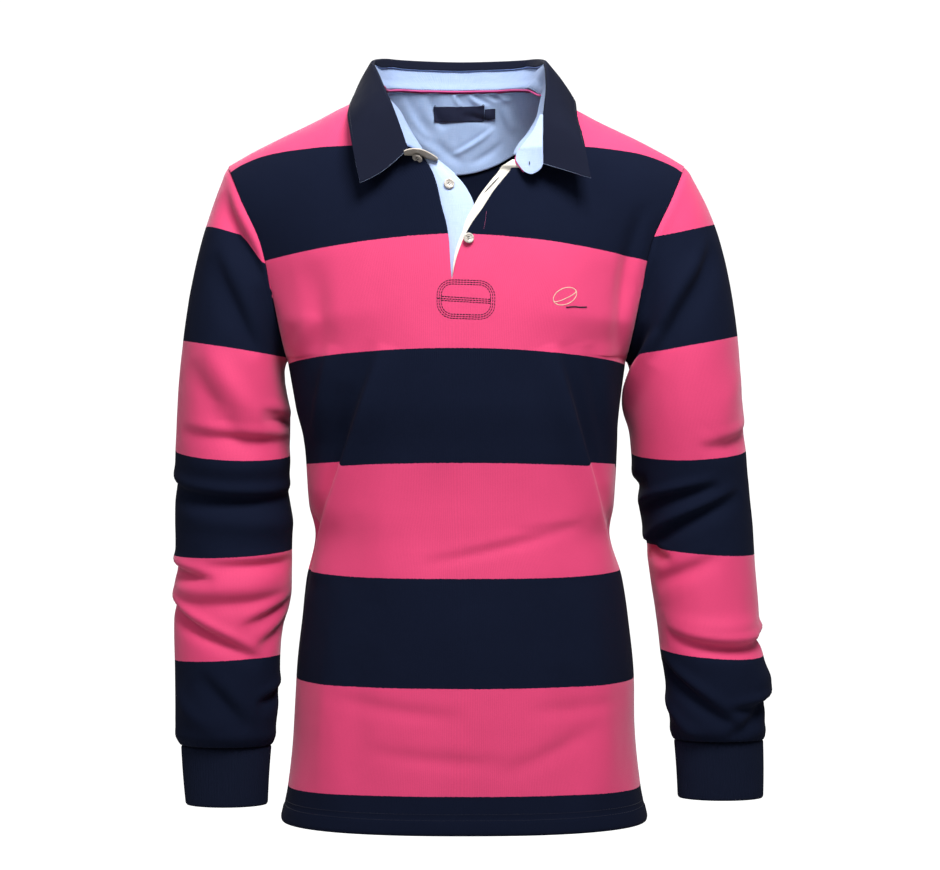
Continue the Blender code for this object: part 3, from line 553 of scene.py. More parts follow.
# the sleeves: rings below a cap that leaves the armhole square to its seam
sleeves = {
    "right": {
        "side": -1,
        "capRun": Vector((-0.112, 0.0, -0.240)),
        "rings": profile(
            "z x y halfWidth halfDepth",
            (-335, 239, 4, 59, 68), (-395, 241.5, 10, 59.5, 64), (-450, 240.5, 12, 61, 61),
            (-510, 240.5, 8, 61, 58), (-568, 245, 2, 55.5, 53), (-627, 245.5, -4, 53.5, 47),
            (-655, 246.5, -6, 51.5, 42), (-672, 246, -7, 48, 34),
        ),
        "foot": -0.672,
        "stripes": "sleeveRight",
        # columns: angle0 z0 angle1 z1 width shift, the angles in degrees
        "steps": [(34, -92, 124, -222, 6, 21)],
        # columns: angle0 z0 angle1 z1 bow width skew depth
        "folds": [
            (34, -100, 104, -194, 0, 8.5, 0.45, -9), (50, -166, 120, -272, 2, 9.5, 0.4, -6),
            (58, -258, 134, -354, 0, 12, 0, 4.5), (42, -276, 120, -378, 0, 11, 0.2, -4),
            (122, -331, 190, -338, 0, 7, 0.3, -6), (34, -345, 188, -354, 7, 7, 0.4, -4.5),
            (-10, -394, 192, -408, 17, 8.5, 0.45, -9), (40, -378, 190, -376, 8, 12, 0, 4),
            (20, -428, 200, -438, 10, 11, 0, 3), (64, -485, 178, -479, 2, 6, 0.35, -4.5),
            (-10, -484, 80, -501, 0, 7, 0.45, -7), (10, -505, 150, -498, 6, 11, 0, 3.5),
            (20, -519, 176, -511, 8, 8, 0.3, -4), (-14, -514, 136, -583, 0, 7, 0.45, -8.5),
            (106, -549, 182, -520, 0, 8, 0.4, -5.5), (124, -573, 190, -538, 0, 8, 0.3, -4.5),
            (62, -594, 122, -654, 0, 9.5, 0.3, -5), (128, -628, 196, -611, 0, 7, 0.4, -6),
            (20, -612, 90, -655, 4, 10, 0, 3.5),
        ],
    },
    "left": {
        "side": 1,
        "capRun": Vector((0.165, 0.0, -0.235)),
        "rings": profile(
            "z x y halfWidth halfDepth",
            (-335, 232, 4, 60, 68), (-395, 238, 10, 59.5, 64), (-450, 246, 12, 57, 61),
            (-510, 252, 8, 54.5, 58), (-568, 257.5, 2, 53, 53), (-620, 264, -4, 53, 47),
            (-648, 264, -6, 49, 42), (-666, 265, -7, 47.5, 34),
        ),
        "foot": -0.666,
        "stripes": "sleeveLeft",
        "steps": [(100, -230, 210, -348, 6, 9)],
        "folds": [
            (36, -154, 126, -280, 0, 8.5, 0.45, -8), (60, -170, 134, -280, 0, 12, 0, 4),
            (94, -172, 126, -236, 0, 7, 0, -3.5), (112, -244, 200, -338, 0, 10, 0.5, 11),
            (-4, -340, 86, -366, 4, 8, 0.4, -4.5), (20, -280, 70, -350, 0, 16, 0, 3),
            (66, -402, 182, -430, 0, 6.5, 0.45, -8), (42, -410, 178, -470, 0, 7, 0.45, -8.5),
            (146, -398, 200, -404, 0, 8, 0.3, -5.5), (128, -479, 196, -458, 0, 6.5, 0.4, -6),
            (76, -475, 160, -503, 2, 8, 0.3, -4), (-10, -556, 150, -554, 14, 7, 0.45, -8),
            (20, -542, 154, -538, 10, 10, 0, 3.5), (-40, -553, 30, -560, 0, 6.5, 0.4, -6),
            (66, -655, 182, -580, 0, 8.5, 0.4, -8), (106, -670, 190, -618, 0, 8, 0, 4),
            (-20, -620, 84, -634, 2, 7, 0.45, -7.5), (22, -632, 88, -666, 0, 8, 0.3, -5),
            (-50, -604, 50, -604, 0, 13, 0, 4.5),
        ],
    },
    # folds behind, the same on both sleeves
    "behind": [
        (190, -300, 330, -350, 8, 12, 0.4, -6), (185, -395, 330, -415, 16, 10, 0.45, -8),
        (210, -440, 340, -470, 12, 12, 0, 4.5), (190, -540, 320, -590, 10, 9.5, 0.4, -6.5),
        (210, -610, 345, -640, 6, 9, 0.4, -6), (200, -140, 280, -240, 4, 11, 0.3, -6),
    ],
    "top": -0.335,
    "underarmRun": Vector((0.030, 0.0, -0.050)),
    "squareOff": Vector((0.957, 0.0, -0.290)),
    # the radius that angles are laid out with, as lengths across the cloth
    "radius": 0.060,
    "capLength": 0.12,
    "columns": 124,
    "capRows": 44,
    "zRows": 110,
    "puckers": 38,
}
sleeves["degree"] = math.radians(sleeves["radius"])


def ringSpot(sleeve, angle, z):
    rings, side = sleeve["rings"], sleeve["side"]
    return Vector((
        side * (rings("x", z) + rings("halfWidth", z) * math.cos(angle)),
        rings("y", z) - rings("halfDepth", z) * math.sin(angle),
        z,
    ))


# the cap: a curve for each angle, from the armhole's seam to the first ring
def capSpot(sleeve, angle, t):
    mirror = Matrix.Diagonal((sleeve["side"], 1.0, 1.0))
    face = "front" if math.sin(angle) > 0 else "back"
    top = (1 + math.cos(angle)) / 2
    run = (mirror @ sleeves["underarmRun"]).lerp(sleeve["capRun"], top)
    start = armholeSpot(face, sleeve["side"], top) + mirror @ sleeves["squareOff"] * 1.5 * body["seamGap"]
    end = ringSpot(sleeve, angle, sleeves["top"])
    below = ringSpot(sleeve, angle, sleeves["top"] - 0.01)
    leave = (below - end) * (start - end).length * 100
    return curveAt(start, run, end, leave, t)


def sleeveSpot(sleeve, angle, level):
    kind, value = level
    at = capSpot(sleeve, angle, value) if kind == "cap" else ringSpot(sleeve, angle, value)
    edge = sleeves["capLength"] * (value if kind == "cap" else 1.0)
    across = angle * sleeves["radius"]
    shift = stepAside(inMetres(sleeve["steps"], sleeves["degree"]), across, at.z)
    band = sleeveBand(sleeve["stripes"], angle, at.z + shift)
    return {"at": at, "band": band, "free": edge, "laid": (across, -band * stripes["pitch"])}


def sleeveLift(sleeve):
    folds = inMetres(sleeve["folds"] + sleeves["behind"], sleeves["degree"])
    whole = 360 * sleeves["degree"]

    def lift(at, edge, laid):
        push = foldLift(folds, laid.x, at.z) + foldLift(folds, laid.x + whole, at.z)
        push += ripple(at, (40, 1.0), (13, 0.25))
        above = at.z - sleeve["foot"]
        push += 1.6 * mm * bell(above - 9 * mm, 7 * mm)
        push *= ease(edge / 0.014) * ease(above / 0.012 + 0.1)
        pucker = math.cos(sleeves["puckers"] * laid.x / sleeves["radius"])
        push += 0.5 * mm * pucker * bell(above - 2 * mm, 5 * mm) - 1.2 * mm * bell(above, 1.8 * mm)
        return push + seamWelt(edge, 0.8 * mm, 0.7 * mm, 2.4 * mm)

    return lift


def makeSleeve(side):
    sleeve = sleeves[side]
    mesh = newCloth()
    angles = spread(-math.pi, math.pi, sleeves["columns"])
    heights = spread(sleeves["top"] + 0.006, sleeve["foot"] + 0.006, sleeves["zRows"])
    heights += [sleeve["foot"] + extra * mm for extra in (4.5, 3.0, 1.6, 0.0)]
    rows = [("cap", t) for t in crowded(sleeves["capRows"], 0.06, 5) if t < 0.94]
    rows += [("z", z) for z in heights if z <= sleeves["top"]]
    rows.reverse()
    addGrid(mesh, angles, rows, partial(sleeveSpot, sleeve))
    bmesh.ops.remove_doubles(mesh, verts=mesh.verts, dist=0.01 * mm)
    if sleeve["side"] > 0:
        bmesh.ops.reverse_faces(mesh, faces=mesh.faces)
    pushCloth(mesh, sleeveLift(sleeve))
    finishPiece(mesh, side + "Sleeve", "jersey", body["wall"], "sleeve_" + side, "jersey")


cuffs = {
    "right": {
        "side": -1, "x": 0.2460, "z": -0.6725, "footX": 0.2455,
        "halfWidth": 0.0468, "footHalfWidth": 0.0425, "height": 0.061,
    },
    "left": {
        "side": 1, "x": 0.2650, "z": -0.6665, "footX": 0.2670,
        "halfWidth": 0.0462, "footHalfWidth": 0.0443, "height": 0.060,
    },
    "y": -0.007,
    "halfDepth": 0.029,
    "radius": 0.040,
    "ribs": 92,
    "ribRise": 0.13 * mm,
    "give": 0.5 * mm,
    "wall": 2.0 * mm,
}


def cuffSpot(cuff, angle, share):
    low = share * cuff["height"]
    halfWidth = mix(cuff["halfWidth"], cuff["footHalfWidth"], share)
    rib = cuffs["ribRise"] * math.cos(cuffs["ribs"] * angle)
    turned = 1.0 * mm * (bell(low, 1.0 * mm) + bell(cuff["height"] - low, 1.2 * mm))
    give = cuffs["give"] * math.sin(3 * angle + 1.0) * math.sin(math.pi * share)
    out = rib + give - turned
    at = Vector((
        cuff["side"] * (mix(cuff["x"], cuff["footX"], share) + (halfWidth + out) * math.cos(angle)),
        cuffs["y"] - (cuffs["halfDepth"] + out) * math.sin(angle),
        cuff["z"] - low,
    ))
    return {"at": at, "laid": (angle * cuffs["radius"], -low)}


def makeCuff(side):
    mesh = newCloth()
    angles = spread(-math.pi, math.pi, cuffs["ribs"] * 6)
    shares = [1 - t for t in crowded(8, 0.06, 4)]
    addGrid(mesh, angles, shares, partial(cuffSpot, cuffs[side]))
    bmesh.ops.remove_doubles(mesh, verts=mesh.verts, dist=0.01 * mm)
    if cuffs[side]["side"] > 0:
        bmesh.ops.reverse_faces(mesh, faces=mesh.faces)
    finishPiece(mesh, side + "Cuff", "rib", cuffs["wall"], "cuff_" + side, "navy_cloth")


# shader node helpers and the groups that more than one cloth uses

def plug(tree, node, inputs):
    for socket, value in inputs.items():
        if isinstance(value, bpy.types.NodeSocket):
            tree.links.new(value, node.inputs[socket])
        else:
            node.inputs[socket].default_value = value


def addNode(tree, kind, inputs=None, **settings):
    node = tree.nodes.new("ShaderNode" + kind)
    for name, value in settings.items():
        setattr(node, name, value)
    plug(tree, node, inputs or {})
    return node


def math2(tree, operation, a, b=0.0, c=0.0):
    return addNode(tree, "Math", {0: a, 1: b, 2: c}, operation=operation).outputs[0]


def noiseAt(tree, place, size, detail, distortion=0.0):
    inputs = {"Vector": place, "Scale": size, "Detail": detail, "Distortion": distortion}
    return addNode(tree, "TexNoise", inputs).outputs["Fac"]


def newGroup(name, inputs, outputs):
    group = bpy.data.node_groups.new(name, "ShaderNodeTree")
    group.interface.new_socket("Vector", in_out="INPUT", socket_type="NodeSocketVector")
    for socket, value in inputs.items():
        made = group.interface.new_socket(socket, in_out="INPUT", socket_type="NodeSocketFloat")
        made.default_value = value
    for socket in outputs:
        group.interface.new_socket(socket, in_out="OUTPUT", socket_type="NodeSocketFloat")
    given = group.nodes.new("NodeGroupInput").outputs
    return group, partial(math2, group), given, group.nodes.new("NodeGroupOutput")


# knit: columns of stitches across u and courses along v, both in metres
def knitGroup():
    sizes = {"Wale": 0.0014, "Course": 0.0011, "Slant": 0.6}
    group, calc, given, end = newGroup("knitStitches", sizes, ("Height", "Shade"))
    split = addNode(group, "SeparateXYZ", {0: given["Vector"]}).outputs
    wale = calc("DIVIDE", split["X"], given["Wale"])
    course = calc("DIVIDE", split["Y"], given["Course"])
    ridge = calc("MULTIPLY", calc("PINGPONG", wale, 0.5), 2.0)
    slanted = calc("MULTIPLY_ADD", ridge, given["Slant"], course)
    loop = calc("SINE", calc("MULTIPLY", slanted, math.tau))
    loop = calc("MULTIPLY_ADD", loop, 0.25, 0.5)
    height = calc("ADD", calc("MULTIPLY", ridge, 0.6), loop)
    plug(group, end, {"Height": height, "Shade": calc("MULTIPLY_ADD", height, 0.5, 0.2)})
    return group


# tone: slow and fine unevenness of dyed yarn, about 1
def toneGroup():
    sizes = {"Slow": 14.0, "Fine": 700.0, "Amount": 0.12}
    group, calc, given, end = newGroup("yarnTone", sizes, ("Tone", "Fuzz"))
    slow = noiseAt(group, given["Vector"], given["Slow"], 3.0)
    fine = noiseAt(group, given["Vector"], given["Fine"], 2.0)
    centred = calc("SUBTRACT", calc("ADD", slow, fine), 1.0)
    plug(group, end, {"Tone": calc("MULTIPLY_ADD", centred, given["Amount"], 1.0), "Fuzz": fine})
    return group


# twill and plain weave: slanting ribs of thread across u and v, both in metres
def weaveGroup():
    sizes = {"Thread": 0.0008, "Slant": 1.0, "Slub": 0.3}
    group, calc, given, end = newGroup("wovenThreads", sizes, ("Height", "Weft"))
    split = addNode(group, "SeparateXYZ", {0: given["Vector"]}).outputs
    u = calc("DIVIDE", split["X"], given["Thread"])
    v = calc("DIVIDE", split["Y"], given["Thread"])
    slanted = calc("MULTIPLY_ADD", v, given["Slant"], u)
    warp = calc("SINE", calc("MULTIPLY", slanted, math.pi))
    weft = calc("SINE", calc("MULTIPLY", v, math.tau))
    height = calc("MULTIPLY_ADD", weft, 0.4, warp)
    slubs = []
    for stretch in ((90.0, 2600.0, 1.0), (2600.0, 90.0, 1.0)):
        stretched = addNode(group, "Mapping", {"Vector": given["Vector"], "Scale": stretch}).outputs[0]
        slubs.append(noiseAt(group, stretched, 1.0, 2.0))
    slub = calc("SUBTRACT", calc("ADD", *slubs), 1.0)
    plug(group, end, {
        "Height": calc("MULTIPLY_ADD", height, 0.35, 0.5),
        "Weft": calc("MULTIPLY_ADD", slub, given["Slub"], 0.5),
    })
    return group


groups = {"knit": knitGroup(), "tone": toneGroup(), "weave": weaveGroup()}

# linear colours; a woven cloth has those of its two threads
colours = {
    "pink": (0.715, 0.049, 0.168),
    "navy": (0.0051, 0.0080, 0.0218),
}


def useGroup(tree, name, place, values=None):
    return addNode(tree, "Group", {"Vector": place, **(values or {})}, node_tree=groups[name]).outputs


def startMaterial(name, roughness, sheen=0.0, sheenTint=(1.0, 1.0, 1.0)):
    material = bpy.data.materials.new(name)
    material.use_nodes = True
    tree = material.node_tree
    shader = tree.nodes["Principled BSDF"]
    plug(tree, shader, {
        "Roughness": roughness,
        "Specular IOR Level": 0.08,
        "Sheen Weight": sheen,
        "Sheen Roughness": 0.45,
        "Sheen Tint": (*sheenTint, 1.0),
    })
    return material, tree, shader


def clothPlace(tree):
    return addNode(tree, "UVMap", uv_map="UVMap").outputs[0]


def tinted(tree, colour, factor):
    return addNode(tree, "VectorMath", {0: colour, 3: factor}, operation="SCALE").outputs[0]


def blended(tree, factor, first, second):
    inputs = {"Factor": factor, 6: (*first, 1.0), 7: (*second, 1.0)}
    return addNode(tree, "Mix", inputs, data_type="RGBA").outputs[2]


def bumped(tree, height, distance, strength):
    return addNode(tree, "Bump", {"Height": height, "Distance": distance, "Strength": strength}).outputs[0]


# striped jersey: the band attribute counts stripes down the cloth
def jerseyMaterial():
    material, tree, shader = startMaterial("stripedJersey", 0.88, sheenTint=(1.0, 0.80, 0.88))
    calc = partial(math2, tree)
    uv = clothPlace(tree)
    band = addNode(tree, "Attribute", attribute_name="band").outputs["Fac"]
    tone = useGroup(tree, "tone", uv)
    knit = useGroup(tree, "knit", uv)
    uneven = calc("MULTIPLY_ADD", tone["Fuzz"], 0.010, -0.005)
    counted = calc("FRACT", calc("MULTIPLY", calc("ADD", band, uneven), 0.5))
    isPink = calc("GREATER_THAN", counted, 0.5)
    colour = blended(tree, isPink, colours["navy"], colours["pink"])
    factor = calc("MULTIPLY", tone["Tone"], calc("MULTIPLY_ADD", knit["Shade"], 0.17, 0.885))
    plug(tree, shader, {
        "Base Color": tinted(tree, colour, factor),
        "Sheen Weight": calc("MULTIPLY_ADD", isPink, 0.26, 0.010),
        "Specular IOR Level": calc("MULTIPLY_ADD", isPink, 0.28, 0.05),
        "Roughness": calc("MULTIPLY_ADD", isPink, -0.15, 0.88),
        "Normal": bumped(tree, knit["Height"], 0.17 * mm, 0.7),
    })
    return material


def ribMaterial():
    material, tree, shader = startMaterial("navyRib", 0.88, 0.012, (0.8, 0.86, 1.0))
    uv = clothPlace(tree)
    tone = useGroup(tree, "tone", uv, {"Amount": 0.18})
    knit = useGroup(tree, "knit", uv, {"Wale": 0.0013, "Course": 0.0010})
    shade = math2(tree, "MULTIPLY_ADD", knit["Shade"], 0.3, 0.82)
    plug(tree, shader, {
        "Base Color": tinted(tree, colours["navy"], math2(tree, "MULTIPLY", tone["Tone"], shade)),
        "Normal": bumped(tree, knit["Height"], 0.25 * mm, 0.7),
    })
    return material


def wovenMaterial(name, colour, weftColour, roughness, thread, slant, slub, sheen):
    material, tree, shader = startMaterial(name, roughness, sheen)
    uv = clothPlace(tree)
    tone = useGroup(tree, "tone", uv, {"Amount": 0.10})
    weave = useGroup(tree, "weave", uv, {"Thread": thread * mm, "Slant": slant, "Slub": slub})
    mixed = blended(tree, weave["Weft"], colour, weftColour)
    plug(tree, shader, {
        "Base Color": tinted(tree, mixed, tone["Tone"]),
        "Normal": bumped(tree, weave["Height"], 0.18 * mm, 0.5),
    })
    return material


def threadMaterial(name, colour):
    material, tree, shader = startMaterial(name, 0.6, 0.2)
    place = addNode(tree, "TexCoord").outputs["Object"]
    tone = useGroup(tree, "tone", place, {"Slow": 60.0, "Fine": 1500.0, "Amount": 0.25})
    plug(tree, shader, {"Base Color": tinted(tree, colour, tone["Tone"])})
    return material


# pearly resin: clouded bands of grey and beige under a gloss
def pearlMaterial():
    material, tree, shader = startMaterial("pearlButton", 0.22)
    place = addNode(tree, "TexCoord").outputs["Object"]
    ramp = addNode(tree, "ValToRGB", {0: noiseAt(tree, place, 260.0, 3.0, 1.5)})
    tones = ((0.32, (0.300, 0.262, 0.230)), (0.68, (0.640, 0.600, 0.540)))
    for element, (position, colour) in zip(ramp.color_ramp.elements, tones):
        element.position = position
        element.color = (*colour, 1.0)
    grain = noiseAt(tree, place, 900.0, 2.0)
    plug(tree, shader, {
        "Base Color": ramp.outputs[0],
        "Specular IOR Level": 0.5,
        "Coat Weight": 0.35,
        "Roughness": addNode(tree, "MapRange", {"Value": grain, 3: 0.16, 4: 0.34}).outputs[0],
        "Normal": bumped(tree, grain, 0.03 * mm, 0.3),
    })
    return material


# columns: warp colour, weft colour, roughness, thread in millimetres, slant, slub, sheen
wovenCloths = {
    "navyTwill": ((0.0066, 0.0084, 0.0205), (0.0062, 0.0080, 0.0195), 0.85, 0.7, 1.0, 0.5, 0.004),
    "blueChambray": ((0.365, 0.495, 0.800), (0.545, 0.650, 0.920), 0.80, 0.6, 0.0, 1.1, 0.04),
    "liningCloth": ((0.300, 0.430, 0.690), (0.430, 0.550, 0.790), 0.80, 0.6, 0.0, 1.3, 0.04),
    "standChambray": ((0.260, 0.350, 0.560), (0.360, 0.450, 0.650), 0.80, 0.7, 0.0, 1.3, 0.04),
    "creamTape": ((0.780, 0.730, 0.640), (0.86, 0.82, 0.74), 0.75, 0.8, 1.0, 0.6, 0.15),
    # the next cloth is the cream of the stand's curled underside, darkened to beige as painted shade where
    # it faces down
    "beigeCanvas": ((0.50, 0.44, 0.37), (0.62, 0.56, 0.48), 0.80, 0.8, 1.0, 0.6, 0.15),
    "navyLabel": ((0.012, 0.015, 0.036), (0.020, 0.024, 0.055), 0.55, 0.5, 1.0, 0.5, 0.15),
    "pinkPiping": ((0.58, 0.060, 0.235), (0.66, 0.11, 0.31), 0.7, 0.6, 1.0, 0.4, 0.15),
}
threadColours = {
    "navyThread": (0.0080, 0.0100, 0.0250),
    "blueThread": (0.43, 0.57, 0.80),
    "creamThread": (0.800, 0.740, 0.520),
    "pinkThread": (0.60, 0.14, 0.30),
    "pinkCord": (0.62, 0.06, 0.20),
}
materials = {"jersey": jerseyMaterial(), "rib": ribMaterial(), "pearl": pearlMaterial()}
for name, looks in wovenCloths.items():
    materials[name] = wovenMaterial(name, *looks)
for name, colour in threadColours.items():
    materials[name] = threadMaterial(name, colour)
print("materials made")


# a reader of places along a line of points, by the length from its start
def lineReader(points):
    points = [Vector(point) for point in points]
    lengths = [(b - a).length for a, b in zip(points, points[1:])]

    def read(distance):
        for i, length in enumerate(lengths):
            if distance <= length or i == len(lengths) - 1:
                return points[i].lerp(points[i + 1], min(max(distance / length, 0.0), 1.0))
            distance -= length

    return read, sum(lengths)


# the collar, by stations from the front end at the wearer's right round to the left
collar = {
    "line": profile(
        "station foldX foldY foldZ edgeX edgeY edgeZ",
        (0, -57, -112, -71, -101.5, -119, -103.5), (0.12, -72, -98, -24, -111.6, -104, -56),
        (0.22, -84, -56, 10, -116.6, -60, -24), (0.32, -94, -4, 38, -115, 2, -1),
        (0.41, -76, 55, 51.5, -96, 84, 6), (0.5, -2, 80, 53, -2, 116, 6), (0.59, 71, 55, 51, 95, 84, 6),
        (0.68, 85.5, -4, 38, 115, 2, -1), (0.78, 85.5, -56, 6, 116.5, -60, -30),
        (0.88, 81, -98, -40, 121, -104, -64), (1, 79, -112, -83.5, 126.2, -119, -99),
        plain="station",
    ),
    "neckStart": 0.434,
    "standLift": 1.2 * mm,
    "standFull": 3.2 * mm,
    "rollRadius": 2.6 * mm,
    "rollBack": 8.2 * mm,
    "rollSide": 1.2 * mm,
    "backHalf": 0.185,
    "leafRun": 0.44,
    "standRun": 0.42,
    "bow": 0.05,
    "frontBow": 4.0 * mm,
    "wall": 1.5 * mm,
    "columns": 150,
    "stitchIn": 5.5 * mm,
}


def neckSeam():
    right, left, back = [], [], []
    for height in spread(collar["neckStart"], 1.0, 24):
        rise = mix(slitRise(), 1.0, height)
        for points, name in ((right, "right"), (left, "left")):
            x = body["opening"](name, height)
            points.append(upperSpot("front", x, riseHeight(x, rise)))
    for x in spread(-0.080, 0.081, 48):
        back.append(upperSpot("back", x, riseHeight(x, body["backNeck"]("rise", abs(x)))))
    return right + back + left[::-1]


seamAt, seamLength = lineReader(neckSeam())


def collarPoint(which, station):
    return Vector([collar["line"](which + axis, station) for axis in "XYZ"])


# at a station: the collar's foot, fold and edge, its ways up and out, and how far it is at the back
def collarFrame(station):
    fold, edge = collarPoint("fold", station), collarPoint("edge", station)
    foot = seamAt(station * seamLength)
    if foot.y < 0:
        foot.y -= collar["standLift"]
    ahead = collarPoint("fold", min(station + 0.02, 1.0)) - collarPoint("fold", max(station - 0.02, 0.0))
    out = (fold - foot).cross(ahead).normalized()
    up = ahead.cross(out).normalized()
    back = ease((collar["backHalf"] - abs(station - 0.5)) / 0.05)
    roll = mix(collar["rollSide"], collar["rollBack"], back)
    return {"foot": foot, "fold": fold, "edge": edge, "up": up, "out": out, "roll": roll, "back": back}


# the leaf: up inside the stand, over the roll and down outside
def leafSpot(station, level):
    kind, t = level
    way = collarFrame(station)
    up, out, radius = way["up"], way["out"], collar["rollRadius"]
    fold = way["fold"] - out * collar["wall"]
    middle = fold + (out - up) * radius
    hang = way["edge"] - fold
    turn = min(max(math.atan2(hang.dot(out), hang.dot(up)), math.radians(40)), math.radians(143))
    last = middle + (up * math.sin(turn) - out * math.cos(turn)) * radius
    if kind == "inner":
        away = out * (1 - way["back"]) * 1.2 * mm * (1 - t)
        at = fold - up * (radius + way["roll"] * (1 - t)) + away
        laid = -way["roll"] * (1 - t)
    elif kind == "roll":
        at = middle + (up * math.sin(turn * t) - out * math.cos(turn * t)) * radius
        laid = turn * t * radius
    else:
        length = (way["edge"] - last).length
        bow = math.sin(math.pi * t)
        at = last.lerp(way["edge"], t) + (out * math.sin(turn) + up) / 2 * length * collar["bow"] * bow
        at += Vector((0.4, -0.2, -0.9)) * collar["frontBow"] * bow * bell(station, 0.05)
        laid = turn * radius + length * t
    return {"at": at, "laid": (station * collar["leafRun"], -laid), "free": t if kind == "hang" else 0.0}


def standSpot(station, t):
    way = collarFrame(station)
    up, out, side = way["up"], way["out"], 1 - way["back"]
    inward = Vector((body["upperLean"] - way["foot"].x, -way["foot"].y, 0.0)).normalized()
    atBack = inward * 2.8 * mm - Vector((0.0, 0.0, 1.2 * mm))
    atSide = up * -2.2 * mm - out * 2.8 * mm
    low = way["foot"] + atBack.lerp(atSide, side)
    tucked = mix(collar["rollRadius"] + way["roll"] - 1.2 * mm, 1.6 * mm, side)
    high = way["fold"] - up * tucked - out * mix(-1.6, 0.6, side) * mm
    full = collar["standFull"] * ease(t / 0.06) * ease((0.45 - t) / 0.35)
    full *= ease((0.25 - abs(station - 0.5)) / 0.03)
    laid = (station * collar["standRun"], (high - low).length * t)
    return {"at": low.lerp(high, t) + inward * full, "laid": laid}


def makeLeaf():
    levels = [("inner", t) for t in spread(0, 1, 4)[:-1]]
    levels += [("roll", t) for t in spread(0, 1, 8)[:-1]]
    levels += [("hang", t) for t in crowded(20, 0.08, 4)]
    mesh = newCloth()
    addGrid(mesh, crowded(collar["columns"], 0.02, 5), levels, leafSpot)

    def lift(at, share, laid):
        end = min(laid.x, collar["leafRun"] - laid.x)
        push = ripple(at, (30, 0.9), (10, 0.2)) * ease(share / 0.2)
        return push - 0.5 * mm * bell(end, 1.2 * mm) * share

    pushCloth(mesh, lift)
    cloths = "navyTwill blueChambray"
    return finishPiece(mesh, "collarLeaf", cloths, collar["wall"], "collar_leaf", "navy_cloth")


def makeStand():
    mesh = newCloth()
    addGrid(mesh, spread(0.015, 0.965, collar["columns"]), spread(0, 1, 16), standSpot)
    pushCloth(mesh, lambda at, share, laid: ripple(at, (16, 0.6), (6, 0.22)))
    wall, slot = collar["wall"], "light_blue_cloth"
    return finishPiece(mesh, "collarStand", "standChambray", wall, "collar_stand", slot)


def meshTree(thing):
    seen = thing.evaluated_get(bpy.context.evaluated_depsgraph_get())
    data = seen.to_mesh()
    places = [vert.co.copy() for vert in data.vertices]
    tree = BVHTree.FromPolygons(places, [tuple(face.vertices) for face in data.polygons])
    seen.to_mesh_clear()
    return tree


# a place on a piece of cloth and its outward way, found towards the back from a starting depth
def onCloth(tree, x, z, start=-0.3):
    place, normal, _, _ = tree.ray_cast(Vector((x, start, z)), Vector((0.0, 1.0, 0.0)))
    if place is not None and normal.y > 0:
        normal = -normal
    return place, normal


lining = {
    "right": -0.0815,
    "left": 0.0915,
    "low": -0.0675,
    "sideLow": -0.0340,
    "drop": 2.4 * mm,
    "clear": 2.4 * mm,
    "wall": 0.9 * mm,
    # columns: x0 z0 x1 z1 bow width skew depth
    "folds": [
        (-60, 12, -30, -30, 4, 5, 0.3, 2), (-30, 16, -12, -20, 3, 5, -0.3, -1.8),
        (-4, 22, 6, 4, 2, 2.2, 0.3, 1.8), (12, 20, 36, 4, 3, 2.6, 0.4, 2.2),
        (26, 22, 52, 10, 2, 2.6, -0.3, -1.8), (42, 20, 62, 8, 2, 3, 0.3, 1.8),
        (4, -4, 44, -16, -3, 4, 0.3, -1.6), (-6, -46, 40, -18, 2, 2.4, 0.4, 2),
        (12, -56, 52, -30, 3, 4, 0, -1.6), (-60, -12, -16, -46, 4, 5, 0, 1.8),
        (-24, -30, 10, -56, 3, 5, 0, -1.6), (50, 10, 64, -24, 2, 5, 0, 1.6),
    ],
}


def liningX(across):
    return mix(lining["right"], lining["left"], (across + 1) / 2)


def liningLow(across):
    return mix(lining["low"], lining["sideLow"], min((across + 0.12) ** 2, 1.0))


def makeLining(backTree):
    mesh = newCloth()
    folds = inMetres(lining["folds"])

    def spot(across, t):
        x = liningX(across)
        top = riseHeight(x, body["backNeck"]("rise", abs(x))) - lining["drop"]
        z = mix(liningLow(across), top, t)
        place, normal = onCloth(backTree, x + body["upperLean"], z, 0.0)
        return {"at": place + normal * lining["clear"], "laid": (x, z)}

    def lift(at, free, laid):
        return 0.4 * mm + 1.25 * foldLift(folds, laid.x, laid.y) + ripple(at, (12, 0.5), (5, 0.14))

    addGrid(mesh, spread(-1, 1, 72), spread(0, 1, 40), spot)
    pushCloth(mesh, lift)
    return finishPiece(mesh, "neckLining", "liningCloth", lining["wall"], "neck_lining", "light_blue_cloth")


labels = {
    "label": {"left": -0.0255, "right": 0.0295, "low": -0.0115, "high": 0.0040},
    "tab": {"left": 0.0300, "right": 0.0415, "low": -0.0095, "high": 0.0010},
    "clear": 1.6 * mm,
    "wall": 0.7 * mm,
    "bevel": 0.2 * mm,
    # the two threads that tack the label: how far in from its ends, and how high they stand
    "tacks": [("left", 2.0 * mm, 1.6 * mm), ("right", -1.5 * mm, 1.4 * mm)],
}


def makeLabel(name, node, size, tree):
    mesh = newCloth()
    wide, high = size["right"] - size["left"], size["high"] - size["low"]

    def spot(s, t):
        x = mix(size["left"], size["right"], s)
        z = mix(size["low"], size["high"], t)
        place, normal = onCloth(tree, x + body["upperLean"], z, 0.0)
        wave = 0.5 * mm * math.sin(5.5 * s + 1.0) + 0.3 * mm * math.sin(4.0 * t)
        return {"at": place + normal * (labels["clear"] + wave), "laid": (s * wide, t * high)}

    addGrid(mesh, spread(0, 1, 36), spread(0, 1, 10), spot)
    finishPiece(mesh, name, "navyLabel", labels["wall"], node, "navy_cloth", labels["bevel"])


piping = {
    "radius": 1.05 * mm,
    "sink": 0.3 * mm,
    # the stand and the lining are felt for below and above their meeting
    "feelers": (-1.6 * mm, 1.4 * mm),
    "first": 0.25,
    "last": 0.75,
    "steps": 160,
}


